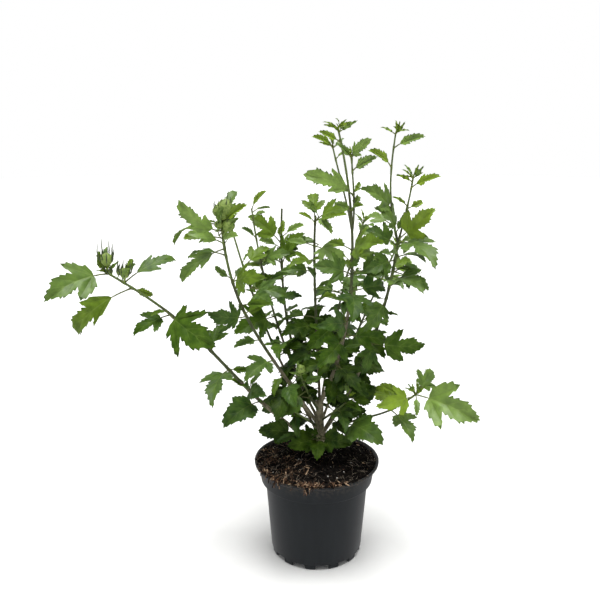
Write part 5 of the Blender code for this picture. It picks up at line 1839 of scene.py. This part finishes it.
def add_bud(foot, heading, rise, length, bract_length, splay, dice):
    """Adds a shut bud with its ring of bracts."""
    way = heading_vector(heading, rise)
    path = [foot + way * length * share for share, _ in BUD_LINE]
    points, faces = tube(path, [width * length for _, width in BUD_LINE], BUD_ROUND)
    for ring, (share, width) in enumerate(BUD_LINE):
        for index, angle in enumerate(angles(BUD_ROUND)):
            at = ring * BUD_ROUND + index
            if share > RIBS_FROM:
                rib = 1.0 + RIB_HEIGHT * math.cos(BUD_RIBS * angle + RIB_TWIST * share)
                points[at] = path[ring] + (points[at] - path[ring]) * rib
    bud_heap.add(points, faces, 0)
    across = way.orthogonal().normalized()
    for bract in range(BRACT_COUNT):
        turn = 2 * math.pi * (bract + dice.uniform(-0.2, 0.2)) / BRACT_COUNT
        side = across * math.cos(turn) + way.cross(across) * math.sin(turn)
        root = foot + way * length * BRACTS_AT + side * 0.05 * length
        size = bract_length * length * dice.uniform(0.7, 1.2)
        bow = [root] + [root + (side * out * splay + way * up) * size for out, up in BRACT_BOW]
        bud_heap.add(*tube(bow, BRACT_RADII, BRACT_SIDES), 1)


bud_dice = random.Random(BUD_SEED)
for stem_name, share, heading, rise, length in BUDS:
    add_bud(along_stem(stem_name, share), heading, rise, length, *BRACTS[stem_name], bud_dice)
calyx = Finish("calyx")
calyx_streaks = calyx.noise(500, 3)
calyx_green = calyx.surface(
    Base_Color=calyx.ramp(calyx_streaks, (0.35, (0.15, 0.23, 0.045)), (0.65, (0.27, 0.36, 0.085))),
    Roughness=0.55, Specular_IOR_Level=0.3, Normal=calyx.bump(calyx_streaks, 0.0003),
)
bract = Finish("bract")
bract_streaks = bract.noise(500, 2)
bract_green = bract.surface(
    Base_Color=bract.ramp(bract_streaks, (0.35, (0.036, 0.054, 0.021)), (0.65, (0.095, 0.135, 0.050))),
    Roughness=0.6,
)
flower_buds = bud_heap.piece("flower_buds", [calyx_green, bract_green], 60)
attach(flower_buds, "root")
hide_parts(*("foliage_" + name for name in ("arch", "left", "sprig_bud")))


# --------------------------------------
# The studio: a pale floor inside a bright round wall, under one broad soft light overhead, and
# the camera at a little over the height of the shrub, looking slightly down on it.
ROOM = 7.0
WALL_FOOT, WALL_TOP = -0.1, 6.0
ROOM_LIGHT = 0.50
KEY_STRENGTH = 3.5
KEY_SIZE = 42.0  # degrees across
KEY_WAY = (-0.03, 0.04, -1.0)
LENS = (43.2, 36.0)  # focal length and sensor width, in mm
EYE = (-0.023, -0.907, 0.591)
DOWNWARD = 14.39  # degrees below level

floor_corners = [(-ROOM, -ROOM, 0), (ROOM, -ROOM, 0), (ROOM, ROOM, 0), (-ROOM, ROOM, 0)]
floor_mesh = mesh_of(floor_corners, [(0, 1, 2, 3)])
paper = Finish("white_paper")
floor_mesh.materials.append(paper.surface(
    Base_Color=paper.blend(paper.noise(40, 2), (0.90, 0.90, 0.885), (0.93, 0.93, 0.92)), Roughness=0.9,
    Specular_IOR_Level=0.1,
))
floor = add_object("floor", floor_mesh)
wall_line = [Vector((0, 0, WALL_FOOT)), Vector((0, 0, WALL_TOP))]
wall_mesh = mesh_of(*tube(wall_line, [0.95 * ROOM, 0.95 * ROOM], SMALL_SEGMENTS))
wall = Finish("bright_wall")
glow = wall.node("ShaderNodeEmission", {}, {"Color": (1.0, 1.0, 1.0, 1.0), "Strength": 1.0})
wall.end(glow)
wall_mesh.materials.append(wall.material)
room = add_object("room", wall_mesh)
room.visible_diffuse = room.visible_glossy = room.visible_shadow = False
floor.visible_glossy = False
world = bpy.data.worlds.new("soft_daylight")
world.use_nodes = True
world.node_tree.nodes["Background"].inputs["Color"].default_value = (1.0, 1.0, 1.0, 1.0)
world.node_tree.nodes["Background"].inputs["Strength"].default_value = ROOM_LIGHT
bpy.context.scene.world = world
sun = bpy.data.lights.new("key", "SUN")
sun.energy, sun.angle = KEY_STRENGTH, math.radians(KEY_SIZE)
key = bpy.data.objects.new("key", sun)
key.rotation_euler = Vector(KEY_WAY).to_track_quat("-Z", "Y").to_euler()
bpy.context.scene.collection.objects.link(key)

lens = bpy.data.cameras.new("camera")
lens.lens, lens.sensor_width = LENS
camera = bpy.data.objects.new("camera", lens)
camera.location = EYE
camera.rotation_euler = Euler((math.radians(90 - DOWNWARD), 0.0, 0.0))
bpy.context.scene.collection.objects.link(camera)
bpy.context.scene.camera = camera
bpy.context.scene.view_settings.view_transform = "Standard"
